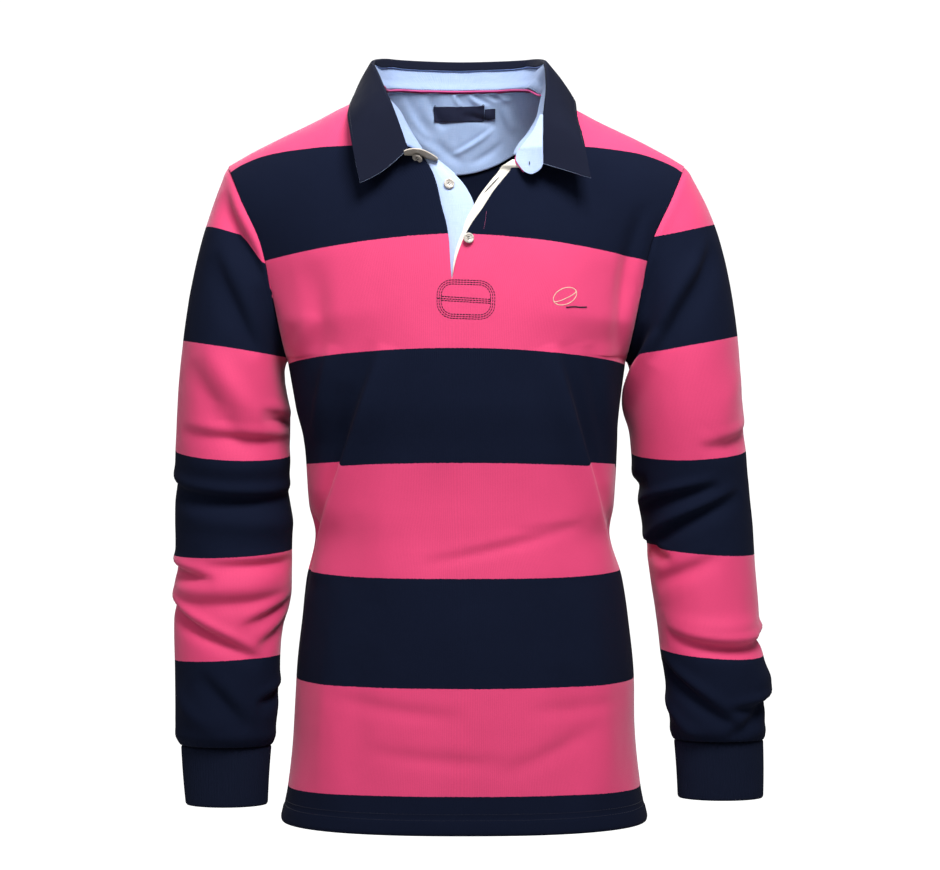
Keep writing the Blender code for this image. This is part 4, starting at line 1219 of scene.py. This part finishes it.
# a round tube through points, made from a ring carried along them
def addTube(mesh, points, radius, sides=10):
    rings = []
    for i, point in enumerate(points):
        ahead = points[min(i + 1, len(points) - 1)] - points[max(i - 1, 0)]
        place = Matrix.Translation(point) @ ahead.to_track_quat("Z", "Y").to_matrix().to_4x4()
        ring = bmesh.ops.create_circle(mesh, segments=sides, radius=radius, matrix=place)["verts"]
        rings.append(list({edge for vert in ring for edge in vert.link_edges}))
    for first, second in zip(rings, rings[1:]):
        bmesh.ops.bridge_loops(mesh, edges=first + second)
    for ring in (rings[0], rings[-1]):
        bmesh.ops.holes_fill(mesh, edges=ring, sides=sides)
    bmesh.ops.recalc_face_normals(mesh, faces=mesh.faces)


def smoothLine(points, rounds):
    for _ in range(rounds):
        middles = [(a + b * 2 + c) / 4 for a, b, c in zip(points, points[1:], points[2:])]
        points = [points[0]] + middles + [points[-1]]
    return points


# the piping covers the foot of the stand, laid on whichever of the stand and the lining is nearer
def makePiping(trees):
    stations = spread(piping["first"], piping["last"], piping["steps"])
    points = []
    for foot in smoothLine([standSpot(station, 0.0)["at"] for station in stations], 12):
        reach = []
        for rise in piping["feelers"]:
            centre = Vector((body["upperLean"], 0.0, foot.z + rise))
            way = Vector((foot.x - centre.x, foot.y, 0.0)).normalized()
            reach += [tree.ray_cast(centre, way)[3] or (foot - centre).length for tree in trees]
        centre.z = foot.z - piping["sink"]
        points.append(centre + way * (min(reach) - piping["radius"] * 0.5))
    points = smoothLine(points, 6)
    mesh = newCloth()
    addTube(mesh, points, piping["radius"])
    uvLayer = mesh.loops.layers.uv["UVMap"]
    for face in mesh.faces:
        for loop in face.loops:
            loop[uvLayer].uv = (loop.vert.co.x, loop.vert.co.z)
    finishPiece(mesh, "neckPiping", "pinkPiping", None, "neck_piping", "pink_cloth")


placket = {
    "foot": -0.236,
    "underTop": -0.074,
    "facingTop": -0.079,
    "wall": 1.0 * mm,
    "behind": 2.6 * mm,
    # the under strip's free edge, and how far the cream facing shows past the panel's edge
    "underEdge": profile(
        "z x",
        (-236, 4), (-200, 6), (-150, 11), (-122.5, 11.2), (-115.8, 9.2), (-107.8, 5.2), (-99.9, 0.2),
        (-90.9, -7.8), (-81.9, -17.7), (-74, -27.5),
    ),
    "underBehind": 1.3 * mm,
    "underLap": 0.010,
    "underPast": 0.007,
    "underAway": 0.006,
    "facingShows": profile(
        "z shows",
        (-236, 0), (-198, 0.4), (-182, 2.2), (-165, 3.8), (-152, 4.4), (-145.6, 6.2), (-131.5, 9.8),
        (-116, 11), (-88, 10.8), (-84, 8), (-79, 2.5),
    ),
    "facingWidth": 0.030,
    "headWidth": 0.016,
    "headZ": -0.0885,
    "headOut": 2.2 * mm,
}


def openingEdge(name, z):
    low, high = 0.0, 1.0
    for _ in range(24):
        height = (low + high) / 2
        x = body["opening"](name, height)
        if riseHeight(x, mix(slitRise(), 1.0, height)) < z:
            low = height
        else:
            high = height
    return body["opening"](name, (low + high) / 2)


def behindFront(x, z, depth):
    step = 0.5 * mm
    across = upperSpot("front", x + step, z) - upperSpot("front", x - step, z)
    up = upperSpot("front", x, z + step) - upperSpot("front", x, z - step)
    return upperSpot("front", x, z) + up.cross(across).normalized() * depth


def makeUnderPlacket():
    mesh = newCloth()

    def spot(s, t):
        z = mix(placket["foot"], placket["underTop"], t)
        start = openingEdge("right", max(z, body["slit"])) - placket["underLap"]
        x = mix(start, placket["underEdge"]("x", z) + placket["underPast"], s)
        away = placket["underAway"] * ease((s - 0.45) / 0.55) * ease((t - 0.35) / 0.5)
        depth = placket["behind"] + placket["underBehind"] + away
        return {"at": behindFront(x, z, depth), "laid": (s * 0.034, z)}

    addGrid(mesh, spread(0, 1, 22), spread(0, 1, 70), spot)
    pushCloth(mesh, lambda at, free, laid: ripple(at, (20, 0.5)))
    wall, slot = placket["wall"], "light_blue_cloth"
    return finishPiece(mesh, "underPlacket", "blueChambray", wall, "placket_under", slot)


def makeFacing():
    mesh = newCloth()

    def spot(s, t):
        z = mix(placket["foot"], placket["facingTop"], t)
        head = ease((z - placket["headZ"]) / 0.004)
        start = openingEdge("left", max(z, body["slit"])) - placket["facingShows"]("shows", z)
        x = mix(start, start + mix(placket["facingWidth"], placket["headWidth"], head), s)
        swell = 0.8 * mm * math.sin(math.pi * min(s * 3.2, 1.0)) * ease(t / 0.4)
        depth = mix(placket["behind"] - swell, -placket["headOut"], head)
        return {"at": behindFront(x, z, depth), "laid": (s * placket["facingWidth"], z)}

    addGrid(mesh, crowded(24, 0.06, 3), spread(0, 1, 110), spot)
    return finishPiece(mesh, "placketFacing", "creamTape", placket["wall"], "placket_facing", "cream_cloth")


# points rounded off between the corners of a line
def rounded(points, rounds=2):
    points = [Vector(point) for point in points]
    for _ in range(rounds):
        cut = [place for a, b in zip(points, points[1:]) for place in (a.lerp(b, 0.25), a.lerp(b, 0.75))]
        points = [points[0]] + cut[1:-1] + [points[-1]]
    return points


# one stitch: a small bead of thread, drawn out from a to b and flattened on the cloth
def addStitch(mesh, a, b, normal, radius):
    along = (b - a).normalized()
    side = along.cross(normal).normalized()
    up = side.cross(along)
    turn = Matrix((side, up, along)).transposed().to_4x4()
    size = Matrix.Diagonal((radius, radius * 0.7, (b - a).length / 2, 1.0))
    place = Matrix.Translation((a + b) / 2 + up * radius * 0.3)
    bmesh.ops.create_uvsphere(mesh, u_segments=6, v_segments=5, radius=1.0, matrix=place @ turn @ size)


# a small lot of new shapes is added to a larger mesh, and its own is emptied
def pour(mesh, lot):
    data = bpy.data.meshes.new("lot")
    lot.to_mesh(data)
    mesh.from_mesh(data)
    bpy.data.meshes.remove(data)
    lot.clear()


def addRow(mesh, points, tree, dash, gap, radius):
    read, total = lineReader(points)
    count = max(round(total / (dash + gap)), 1)
    pitch = total / count
    lot = bmesh.new()
    for k in range(count):
        a, b = read(k * pitch + gap / 2), read((k + 1) * pitch - gap / 2)
        _, normal, _, _ = tree.find_nearest((a + b) / 2)
        addStitch(lot, a, b, normal, radius)
        if k % 30 == 29:
            pour(mesh, lot)
    pour(mesh, lot)
    lot.free()


# a line of (x, z) corners laid on the outside of the front cloth
def onFront(tree, corners, step=1.2 * mm):
    read, total = lineReader([(x, 0.0, z) for x, z in corners])
    places = []
    for k in range(round(total / step) + 1):
        spot = read(k * step)
        place, _ = onCloth(tree, spot.x, spot.z)
        if place is not None:
            places.append(place)
    return places


def finishThread(mesh, name, thread):
    bmesh.ops.recalc_face_normals(mesh, faces=mesh.faces)
    finishPiece(mesh, name, thread)


# the rows of stitches: their thread, and the length, the gap and the radius of a stitch in millimetres
stitches = {
    "patchStitches": ("navyThread", 2.8, 0.2, 0.46),
    "markOutline": ("creamThread", 1.1, 0.15, 0.5),
    "markBar": ("navyThread", 1.0, 0.1, 0.9),
    "frontHemStitches": ("navyThread", 2.6, 0.8, 0.32),
    "backHemStitches": ("navyThread", 2.6, 0.8, 0.32),
    "leafStitches": ("navyThread", 2.4, 0.7, 0.3),
    "standStitches": ("blueThread", 2.0, 0.8, 0.28),
    "liningStitches": ("blueThread", 1.9, 0.9, 0.28),
    "tabStitches": ("blueThread", 1.7, 0.8, 0.18),
    "facingButtonhole": ("navyThread", 1.1, -0.3, 0.36),
    "placketStitches": ("pinkThread", 1.3, 0.6, 0.16),
}


def sew(name, tree, lines):
    thread, dash, gap, radius = stitches[name]
    mesh = newCloth()
    for line in lines:
        addRow(mesh, line, tree, dash * mm, gap * mm, radius * mm)
    finishThread(mesh, name, thread)


# the stitched patch that strengthens the foot of the placket
patch = {
    "x": 0.0030,
    "z": -0.2189,
    "halfWidth": 0.0284,
    "halfHeight": 0.0190,
    "corner": 0.0150,
    "tilt": -0.030,
    "spacing": 2.05 * mm,
    # each bar's extra length at the wearer's right, and its height there and at the left
    "bars": [(0.0, -0.2158, -0.2188), (0.004, -0.2178, -0.2207), (0.0, -0.2198, -0.2227)],
}


def patchLine(inset):
    halfWidth, halfHeight = patch["halfWidth"] - inset, patch["halfHeight"] - inset
    corner = patch["corner"] - inset
    line = []
    for quarter in range(4):
        start = quarter * math.pi / 2
        centreX = math.copysign(halfWidth - corner, math.cos(start + 0.7))
        centreZ = math.copysign(halfHeight - corner, math.sin(start + 0.7))
        for turn in spread(start, start + math.pi / 2, 8):
            x = centreX + corner * math.cos(turn)
            line.append((patch["x"] + x, patch["z"] + centreZ + corner * math.sin(turn) + patch["tilt"] * x))
    return line + line[:1]


def makePatchThread(tree):
    lines = [patchLine(k * patch["spacing"]) for k in range(3)]
    reach = patch["halfWidth"] - 2 * patch["spacing"]
    for longer, right, left in patch["bars"]:
        lines.append([(patch["x"] - reach - longer, right), (patch["x"] + reach, left)])
    sew("patchStitches", tree, [onFront(tree, line) for line in lines])


# a plain embroidered mark on the wearer's left chest: a ball's outline over a short bar
mark = {
    "x": 0.1010,
    "z": -0.2150,
    "long": 0.0125,
    "short": 0.0078,
    "turn": 0.45,
    "seam": 0.30,
    "bar": [(0.001, -0.2262), (0.009, -0.2248), (0.016, -0.2256), (0.022, -0.2250)],
    "step": 0.6 * mm,
}


def markLine(short, start):
    line = []
    for turn in spread(start, math.tau, 40):
        a, b = mark["long"] * math.cos(turn), short * math.sin(turn)
        x = a * math.cos(mark["turn"]) - b * math.sin(mark["turn"])
        z = a * math.sin(mark["turn"]) + b * math.cos(mark["turn"])
        line.append((mark["x"] + x, mark["z"] + z))
    return line


def makeMark(tree):
    ball = [markLine(mark["short"], 0.0), markLine(mark["short"] * mark["seam"], math.pi)]
    sew("markOutline", tree, [onFront(tree, line, mark["step"]) for line in ball])
    bar = [(point.x, point.z) for point in rounded([(mark["x"] + x, 0.0, z) for x, z in mark["bar"]])]
    sew("markBar", tree, [onFront(tree, bar, mark["step"])])


def makeHemThread(face, tree):
    outside = Vector((0.0, faceSign(face) * 3 * mm, 0.0))
    lines = []
    for height in hem["stitches"]:
        places = [lowerSpot(face, turn, body["hem"] + height) for turn in spread(-0.985, 0.985, 260)]
        lines.append([tree.find_nearest(place + outside)[0] for place in places])
    sew(face + "HemStitches", tree, lines)


# the collar's own rows: round the leaf's edge, and along the foot and the top of the stand
def makeCollarThread(leafTree, standTree):
    inset = collar["stitchIn"]

    def onLeaf(station, way, t):
        spot = leafSpot(station, ("hang", t))["at"]
        return leafTree.find_nearest(spot + way["out"] * 2 * mm)[0]

    lines = []
    for station in (0.012, 0.988):
        way = collarFrame(station)
        lines.append([onLeaf(station, way, t) for t in spread(0.1, 1 - inset / 0.05, 12)])
    edge = []
    for station in spread(0.012, 0.988, 220):
        way = collarFrame(station)
        edge.append(onLeaf(station, way, 1 - inset / (way["edge"] - way["fold"]).length))
    sew("leafStitches", leafTree, lines + [edge])

    lines = []
    for share in (0.10, 0.93):
        line = []
        for station in spread(0.16, 0.97, 200):
            spot = standSpot(station, share)["at"]
            inward = Vector((body["upperLean"], 0.0, spot.z)) - spot
            line.append(standTree.find_nearest(spot + inward.normalized() * 3 * mm)[0])
        lines.append(line)
    sew("standStitches", standTree, lines)


def makeLiningThread(tree):
    line = []
    for across in spread(-0.96, 0.96, 120):
        x, z = liningX(across) + body["upperLean"], liningLow(across) + 2.6 * mm
        place, _ = onCloth(tree, x, z, 0.0)
        if place is not None:
            line.append(place)
    sew("liningStitches", tree, [line])


# buttons: a turned disc with a raised rim, a dished middle and four holes crossed by thread
buttons = {
    # radius and height of the section in millimetres
    "section": [
        (0.00, 1.25), (2.6, 1.25), (3.1, 1.45), (3.6, 1.95), (4.2, 2.15), (4.9, 1.95), (5.35, 1.35),
        (5.3, 0.7), (4.6, 0.15), (3.4, 0.0), (0.0, 0.0),
    ],
    "holeAt": 1.05 * mm,
    "holeRadius": 0.55 * mm,
    "steps": 48,
    "thread": 0.34 * mm,
    "shank": 1.1 * mm,
    # where each one is, and the way that it faces
    "neck": (Vector((-0.0446, -0.1060, -0.0768)), Vector((-0.40, -0.50, -0.77))),
    "middle": ((-0.0139, -0.1034), Vector((0.1, -1.0, 0.15))),
    "low": ((0.0048, -0.1588), Vector((0.30, -1.0, 0.18))),
}


def addDisc(mesh):
    verts = [mesh.verts.new((r * mm, 0.0, z * mm)) for r, z in buttons["section"]]
    edges = [mesh.edges.new(pair) for pair in zip(verts, verts[1:])]
    bmesh.ops.spin(
        mesh, geom=verts + edges, cent=(0, 0, 0), axis=(0, 0, 1), dvec=(0, 0, 0), angle=math.tau,
        steps=buttons["steps"], use_merge=True,
    )
    bmesh.ops.remove_doubles(mesh, verts=mesh.verts, dist=0.01 * mm)
    bmesh.ops.recalc_face_normals(mesh, faces=mesh.faces)


def addDrills(mesh):
    radius = buttons["holeRadius"]
    for x in (-buttons["holeAt"], buttons["holeAt"]):
        for y in (-buttons["holeAt"], buttons["holeAt"]):
            place = Matrix.Translation((x, y, 0.0))
            bmesh.ops.create_cone(
                mesh, cap_ends=True, segments=12, radius1=radius, radius2=radius, depth=8 * mm, matrix=place,
            )


# the holes are cut by a boolean, which is then applied
def cutHoles(piece, drill):
    cutter = meshObject("drill", drill)
    holes = piece.modifiers.new("Holes", "BOOLEAN")
    holes.solver = "EXACT"
    holes.object = cutter
    seen = piece.evaluated_get(bpy.context.evaluated_depsgraph_get())
    drilled = bpy.data.meshes.new_from_object(seen)
    piece.modifiers.clear()
    piece.data = drilled
    bpy.data.objects.remove(cutter)
    piece.data.set_sharp_from_angle(angle=math.radians(40))


def makeButton(name, node, place, facing, shank=0.6 * mm, turn=0.3):
    facing = facing.to_track_quat("Z", "Y").to_matrix().to_4x4() @ Matrix.Rotation(turn, 4, "Z")
    stand = Matrix.Translation(place) @ facing @ Matrix.Translation((0.0, 0.0, shank))
    mesh = newCloth()
    drill = bmesh.new()
    addDisc(mesh)
    addDrills(drill)
    for shape in (mesh, drill):
        bmesh.ops.transform(shape, matrix=stand, verts=shape.verts)
    piece = finishPiece(mesh, name, "pearl")
    cutHoles(piece, drill)
    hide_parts(node)

    mesh = newCloth()
    for y in (-1, 1):
        line = []
        for t in spread(-1, 1, 8):
            high = mix(0.6, 1.25 + 0.45, 1 - abs(t) ** 3) * mm
            line.append(stand @ Vector((t * buttons["holeAt"] * 1.05, y * buttons["holeAt"], high)))
        addTube(mesh, line, buttons["thread"], 8)
    if shank > 1.5 * mm:
        line = [stand @ Vector((0.0, 0.0, z * mm)) for z in (0.4, -1.0, -shank / mm - 0.6)]
        addTube(mesh, line, buttons["shank"])
    finishThread(mesh, name + "Thread", "navyThread")


# the ends of the stand past the neck opening: a rounded tab with a buttonhole at the wearer's
# left, and at the right an end that curls over and shows its cream underside above a button, coloured darker
# beige as painted shade
standEnds = {
    "tab": profile(
        "z inner outer",
        (-33, 77.5, 80), (-47, 71.8, 79.6), (-59, 63.8, 79.2), (-68.8, 56.6, 79.1), (-73.7, 53.6, 79.2),
        (-78.7, 53, 79.3), (-83.6, 55.2, 79.3), (-87.6, 57.7, 78.2), (-90.5, 60, 75.8),
        (-92.8, 63.3, 72.4), (-94.2, 66.4, 69),
    ),
    "tabTop": -0.0330,
    "tabFoot": -0.0942,
    "curl": profile(
        "x high low",
        (-58.4, -72, -72.6), (-54.2, -70.3, -73.2), (-47.3, -69.3, -74), (-42.3, -69.7, -75.6),
        (-38.4, -70.6, -76.8), (-31.5, -73.5, -78.4), (-24.6, -77.4, -78.8),
    ),
    "curlStart": -0.0584,
    "curlEnd": -0.0246,
    "curlDepth": -0.1190,
    "pipingLine": [
        (0.0570, -0.0676), (0.0536, -0.0735), (0.0517, -0.0787), (0.0536, -0.0832), (0.0574, -0.0876),
        (0.0602, -0.0913),
    ],
    "pipingRadius": 0.85 * mm,
    "tabDepth": -0.1140,
    "rimTop": -0.066,
    "rimLow": -0.090,
    "rimFoot": -0.0918,
    "buttonhole": [(0.0657, -0.0812), (0.0660, -0.0850)],
    "wall": 1.4 * mm,
    "bevel": 0.3 * mm,
}


def tabSpot(s, z):
    inner, outer = standEnds["tab"]("inner", z), standEnds["tab"]("outer", z)
    panelX = standEnds["tab"]("inner", -0.0836) - body["upperLean"]
    nearPanel = upperSpot("front", panelX, min(z, -0.070)).y - 3.6 * mm
    x = mix(inner, outer, s)
    y = mix(nearPanel, standEnds["tabDepth"], (x - 0.053) / 0.026)
    return Vector((x, y + 0.6 * max(z + 0.0680, 0.0), z))


def makeTab():
    mesh = newCloth()
    depths = [mix(standEnds["tabTop"], standEnds["tabFoot"], 1 - (1 - t) ** 1.6) for t in spread(0, 1, 50)]
    addGrid(mesh, spread(0, 1, 26), depths, lambda s, z: {"at": tabSpot(s, z), "laid": (s * 0.026, z)})
    pushCloth(mesh, lambda at, free, laid: ripple(at, (12, 0.3)))
    return finishPiece(mesh, "standTab", "blueChambray", standEnds["wall"], bevel=standEnds["bevel"])


def makeCurl():
    mesh = newCloth()

    def spot(s, t):
        x = mix(standEnds["curlStart"], standEnds["curlEnd"], s)
        z = mix(standEnds["curl"]("high", x), standEnds["curl"]("low", x), t)
        y = standEnds["curlDepth"] + 0.018 * t**1.2 + 0.012 * s**2
        return {"at": Vector((x, y, z)), "laid": (s * 0.034, t * 0.011)}

    addGrid(mesh, spread(0, 1, 40), spread(0, 1, 12), spot)
    # the curl's underside and rim get the darker beige copy of the cream: painted shade
    cloths = "blueChambray beigeCanvas"
    finishPiece(mesh, "standCurl", cloths, standEnds["wall"], bevel=standEnds["bevel"])


def makeTabPiping():
    mesh = newCloth()
    line = []
    for place in rounded([(x, 0.0, z) for x, z in standEnds["pipingLine"]]):
        line.append(Vector((place.x, tabSpot(0.0, place.z).y + 0.6 * mm, place.z)))
    addTube(mesh, line, standEnds["pipingRadius"])
    finishThread(mesh, "tabPiping", "pinkCord")


def makeTabThread(tree):
    def onTab(s, z):
        return tree.find_nearest(tabSpot(s, z) + Vector((0.0, -3 * mm, 0.0)))[0]

    sideLine = spread(standEnds["rimTop"], standEnds["rimLow"], 20)
    rim = [onTab(0.13, z) for z in sideLine]
    rim += [onTab(s, standEnds["rimFoot"]) for s in spread(0.3, 0.7, 6)]
    rim += [onTab(0.90, z) for z in reversed(sideLine)]
    sew("tabStitches", tree, [rim])
    mesh = newCloth()
    top, foot = [Vector((x, onTab(0.5, z).y, onTab(0.5, z).z)) for x, z in standEnds["buttonhole"]]
    addStitch(mesh, top, foot, Vector((0, -1, 0)), 0.55 * mm)
    finishThread(mesh, "tabButtonhole", "navyThread")


facingThread = {
    "holeLow": Vector((0.0212, 0.0, -0.1124)),
    "holeHigh": Vector((0.0356, 0.0, -0.0966)),
    "holeHalf": 0.42 * mm,
    "beside": [(0.0232, -0.1310), (0.0224, -0.1395), (0.0207, -0.1490)],
}


# the buttonhole along the cream facing, and the thread that shows on the cloth beside it
def makeFacingThread(facingTree, frontTree):
    low, high = facingThread["holeLow"], facingThread["holeHigh"]
    along = (high - low).normalized()
    across = Vector((-along.z, 0.0, along.x))
    lines = []
    for side in (-1, 1):
        line = []
        for t in spread(0, 1, 16):
            spot = low.lerp(high, t) + across * side * facingThread["holeHalf"] * math.sin(math.pi * t)
            place, _ = onCloth(facingTree, spot.x, spot.z)
            if place is not None:
                line.append(place)
        lines.append(line)
    sew("facingButtonhole", facingTree, lines)
    sew("placketStitches", frontTree, [onFront(frontTree, facingThread["beside"], 0.8 * mm)])


def makeLabelThread(tree):
    mesh = newCloth()
    size = labels["label"]
    for end, inset, high in labels["tacks"]:
        line = []
        for turn in spread(-0.4, math.pi + 0.4, 12):
            x = size[end] + inset + body["upperLean"] + 0.9 * mm * math.cos(turn)
            place, normal = onCloth(tree, x, size["high"] + high * math.sin(turn) - 0.2 * mm, 0.0)
            line.append(place + normal * 1.4 * mm)
        addTube(mesh, line, 0.28 * mm, 6)
    finishThread(mesh, "labelThreads", "navyThread")


def makeButtons(frontTree, underTree):
    makeButton("neckButton", "button_neck", *buttons["neck"])
    spot, facing = buttons["middle"]
    place, normal = onCloth(underTree, *spot)
    makeButton("middleButton", "button_middle", place, normal + facing, turn=0.9)
    spot, facing = buttons["low"]
    place, _ = onCloth(frontTree, *spot)
    makeButton("lowButton", "button_low", place, facing, 2.4 * mm, 0.2)


front = makeFront()
back = makeBack()
print("panels made")
for name in ("right", "left"):
    makeSleeve(name)
    makeCuff(name)
print("sleeves and cuffs made")
leaf = makeLeaf()
stand = makeStand()
liningTree = meshTree(makeLining(meshTree(back)))
makeLabel("neckLabel", "neck_label", labels["label"], liningTree)
makeLabel("sizeTab", "size_tab", labels["tab"], liningTree)
makePiping([meshTree(stand), liningTree])
under = makeUnderPlacket()
facing = makeFacing()
tab = makeTab()
makeCurl()
makeTabPiping()
makeTabThread(meshTree(tab))
print("collar, lining and facings made")

frontTree = meshTree(front)
makeButtons(frontTree, meshTree(under))
print("buttons made")

makePatchThread(frontTree)
makeMark(frontTree)
makeHemThread("front", frontTree)
makeHemThread("back", meshTree(back))
makeCollarThread(meshTree(leaf), meshTree(stand))
makeLiningThread(liningTree)
makeFacingThread(meshTree(facing), frontTree)
makeLabelThread(liningTree)
print("stitches made")


# the stage: a pale floor, a bright background that only the camera sees, four lamps and the camera
white = (1.0, 1.0, 1.0, 1.0)
stage = {
    "floorSize": 8.0,
    "floorHeight": -1.35,
    "floorColour": (0.55, 0.55, 0.55, 1.0),
    "ambient": 0.20,
    "bright": 1.1,
    # each lamp's place, target, size and power
    "key": ((0.3, -1.15, 1.05), (0.0, 0.0, -0.26), (0.7, 0.7), 45.0),
    "fill": ((-1.3, -1.7, 1.1), (0.0, 0.0, -0.20), (1.0, 1.2), 12.0),
    "top": ((0.0, 0.3, 1.8), (0.0, 0.0, -0.2), (1.4, 1.2), 14.0),
    "behind": ((-0.4, 2.2, 0.9), (0.0, 0.0, -0.35), (1.4, 1.4), 34.0),
}


# the lens: its length and its shift up, in pixels of a render this many pixels wide
view = {"sensor": 36.0, "length": 2112, "up": 30, "width": 940, "place": (0.007, -2.2, -0.382)}


def makeFloor():
    mesh = bmesh.new()
    bmesh.ops.create_grid(mesh, x_segments=2, y_segments=2, size=stage["floorSize"])
    bmesh.ops.translate(mesh, verts=mesh.verts, vec=(0.0, 0.0, stage["floorHeight"]))
    floor = meshObject("floor", mesh)
    material, tree, shader = startMaterial("paleFloor", 0.9)
    seen = addNode(tree, "LightPath").outputs["Is Camera Ray"]
    plug(tree, shader, {
        "Base Color": stage["floorColour"],
        "Emission Color": white,
        "Emission Strength": math2(tree, "MULTIPLY_ADD", seen, 1.0, 0.02),
    })
    floor.data.materials.append(material)


def addLamp(name):
    place, target, size, power = stage[name]
    lamp = bpy.data.lights.new(name, "AREA")
    lamp.shape = "RECTANGLE"
    lamp.size, lamp.size_y = size
    lamp.energy = power
    thing = addObject(name, lamp)
    thing.location = place
    thing.rotation_euler = (Vector(target) - Vector(place)).to_track_quat("-Z", "Y").to_euler()


def makeLight():
    world = bpy.data.worlds.new("studio")
    world.use_nodes = True
    tree = world.node_tree
    ambient = tree.nodes["Background"]
    plug(tree, ambient, {"Color": white, "Strength": stage["ambient"]})
    bright = addNode(tree, "Background", {"Color": white, "Strength": stage["bright"]})
    seen = addNode(tree, "LightPath").outputs["Is Camera Ray"]
    both = addNode(tree, "MixShader", {0: seen, 1: ambient.outputs[0], 2: bright.outputs[0]})
    tree.links.new(both.outputs[0], tree.nodes["World Output"].inputs["Surface"])
    bpy.context.scene.world = world
    for name in ("key", "fill", "top", "behind"):
        addLamp(name)


def makeCamera():
    lens = bpy.data.cameras.new("camera")
    lens.sensor_width = view["sensor"]
    lens.lens = view["sensor"] * view["length"] / view["width"]
    lens.shift_y = view["up"] / view["width"]
    camera = addObject("camera", lens)
    camera.location = view["place"]
    camera.rotation_euler = (math.pi / 2, 0.0, 0.0)
    bpy.context.scene.camera = camera
    bpy.context.scene.view_settings.view_transform = "Standard"


makeFloor()
makeLight()
makeCamera()
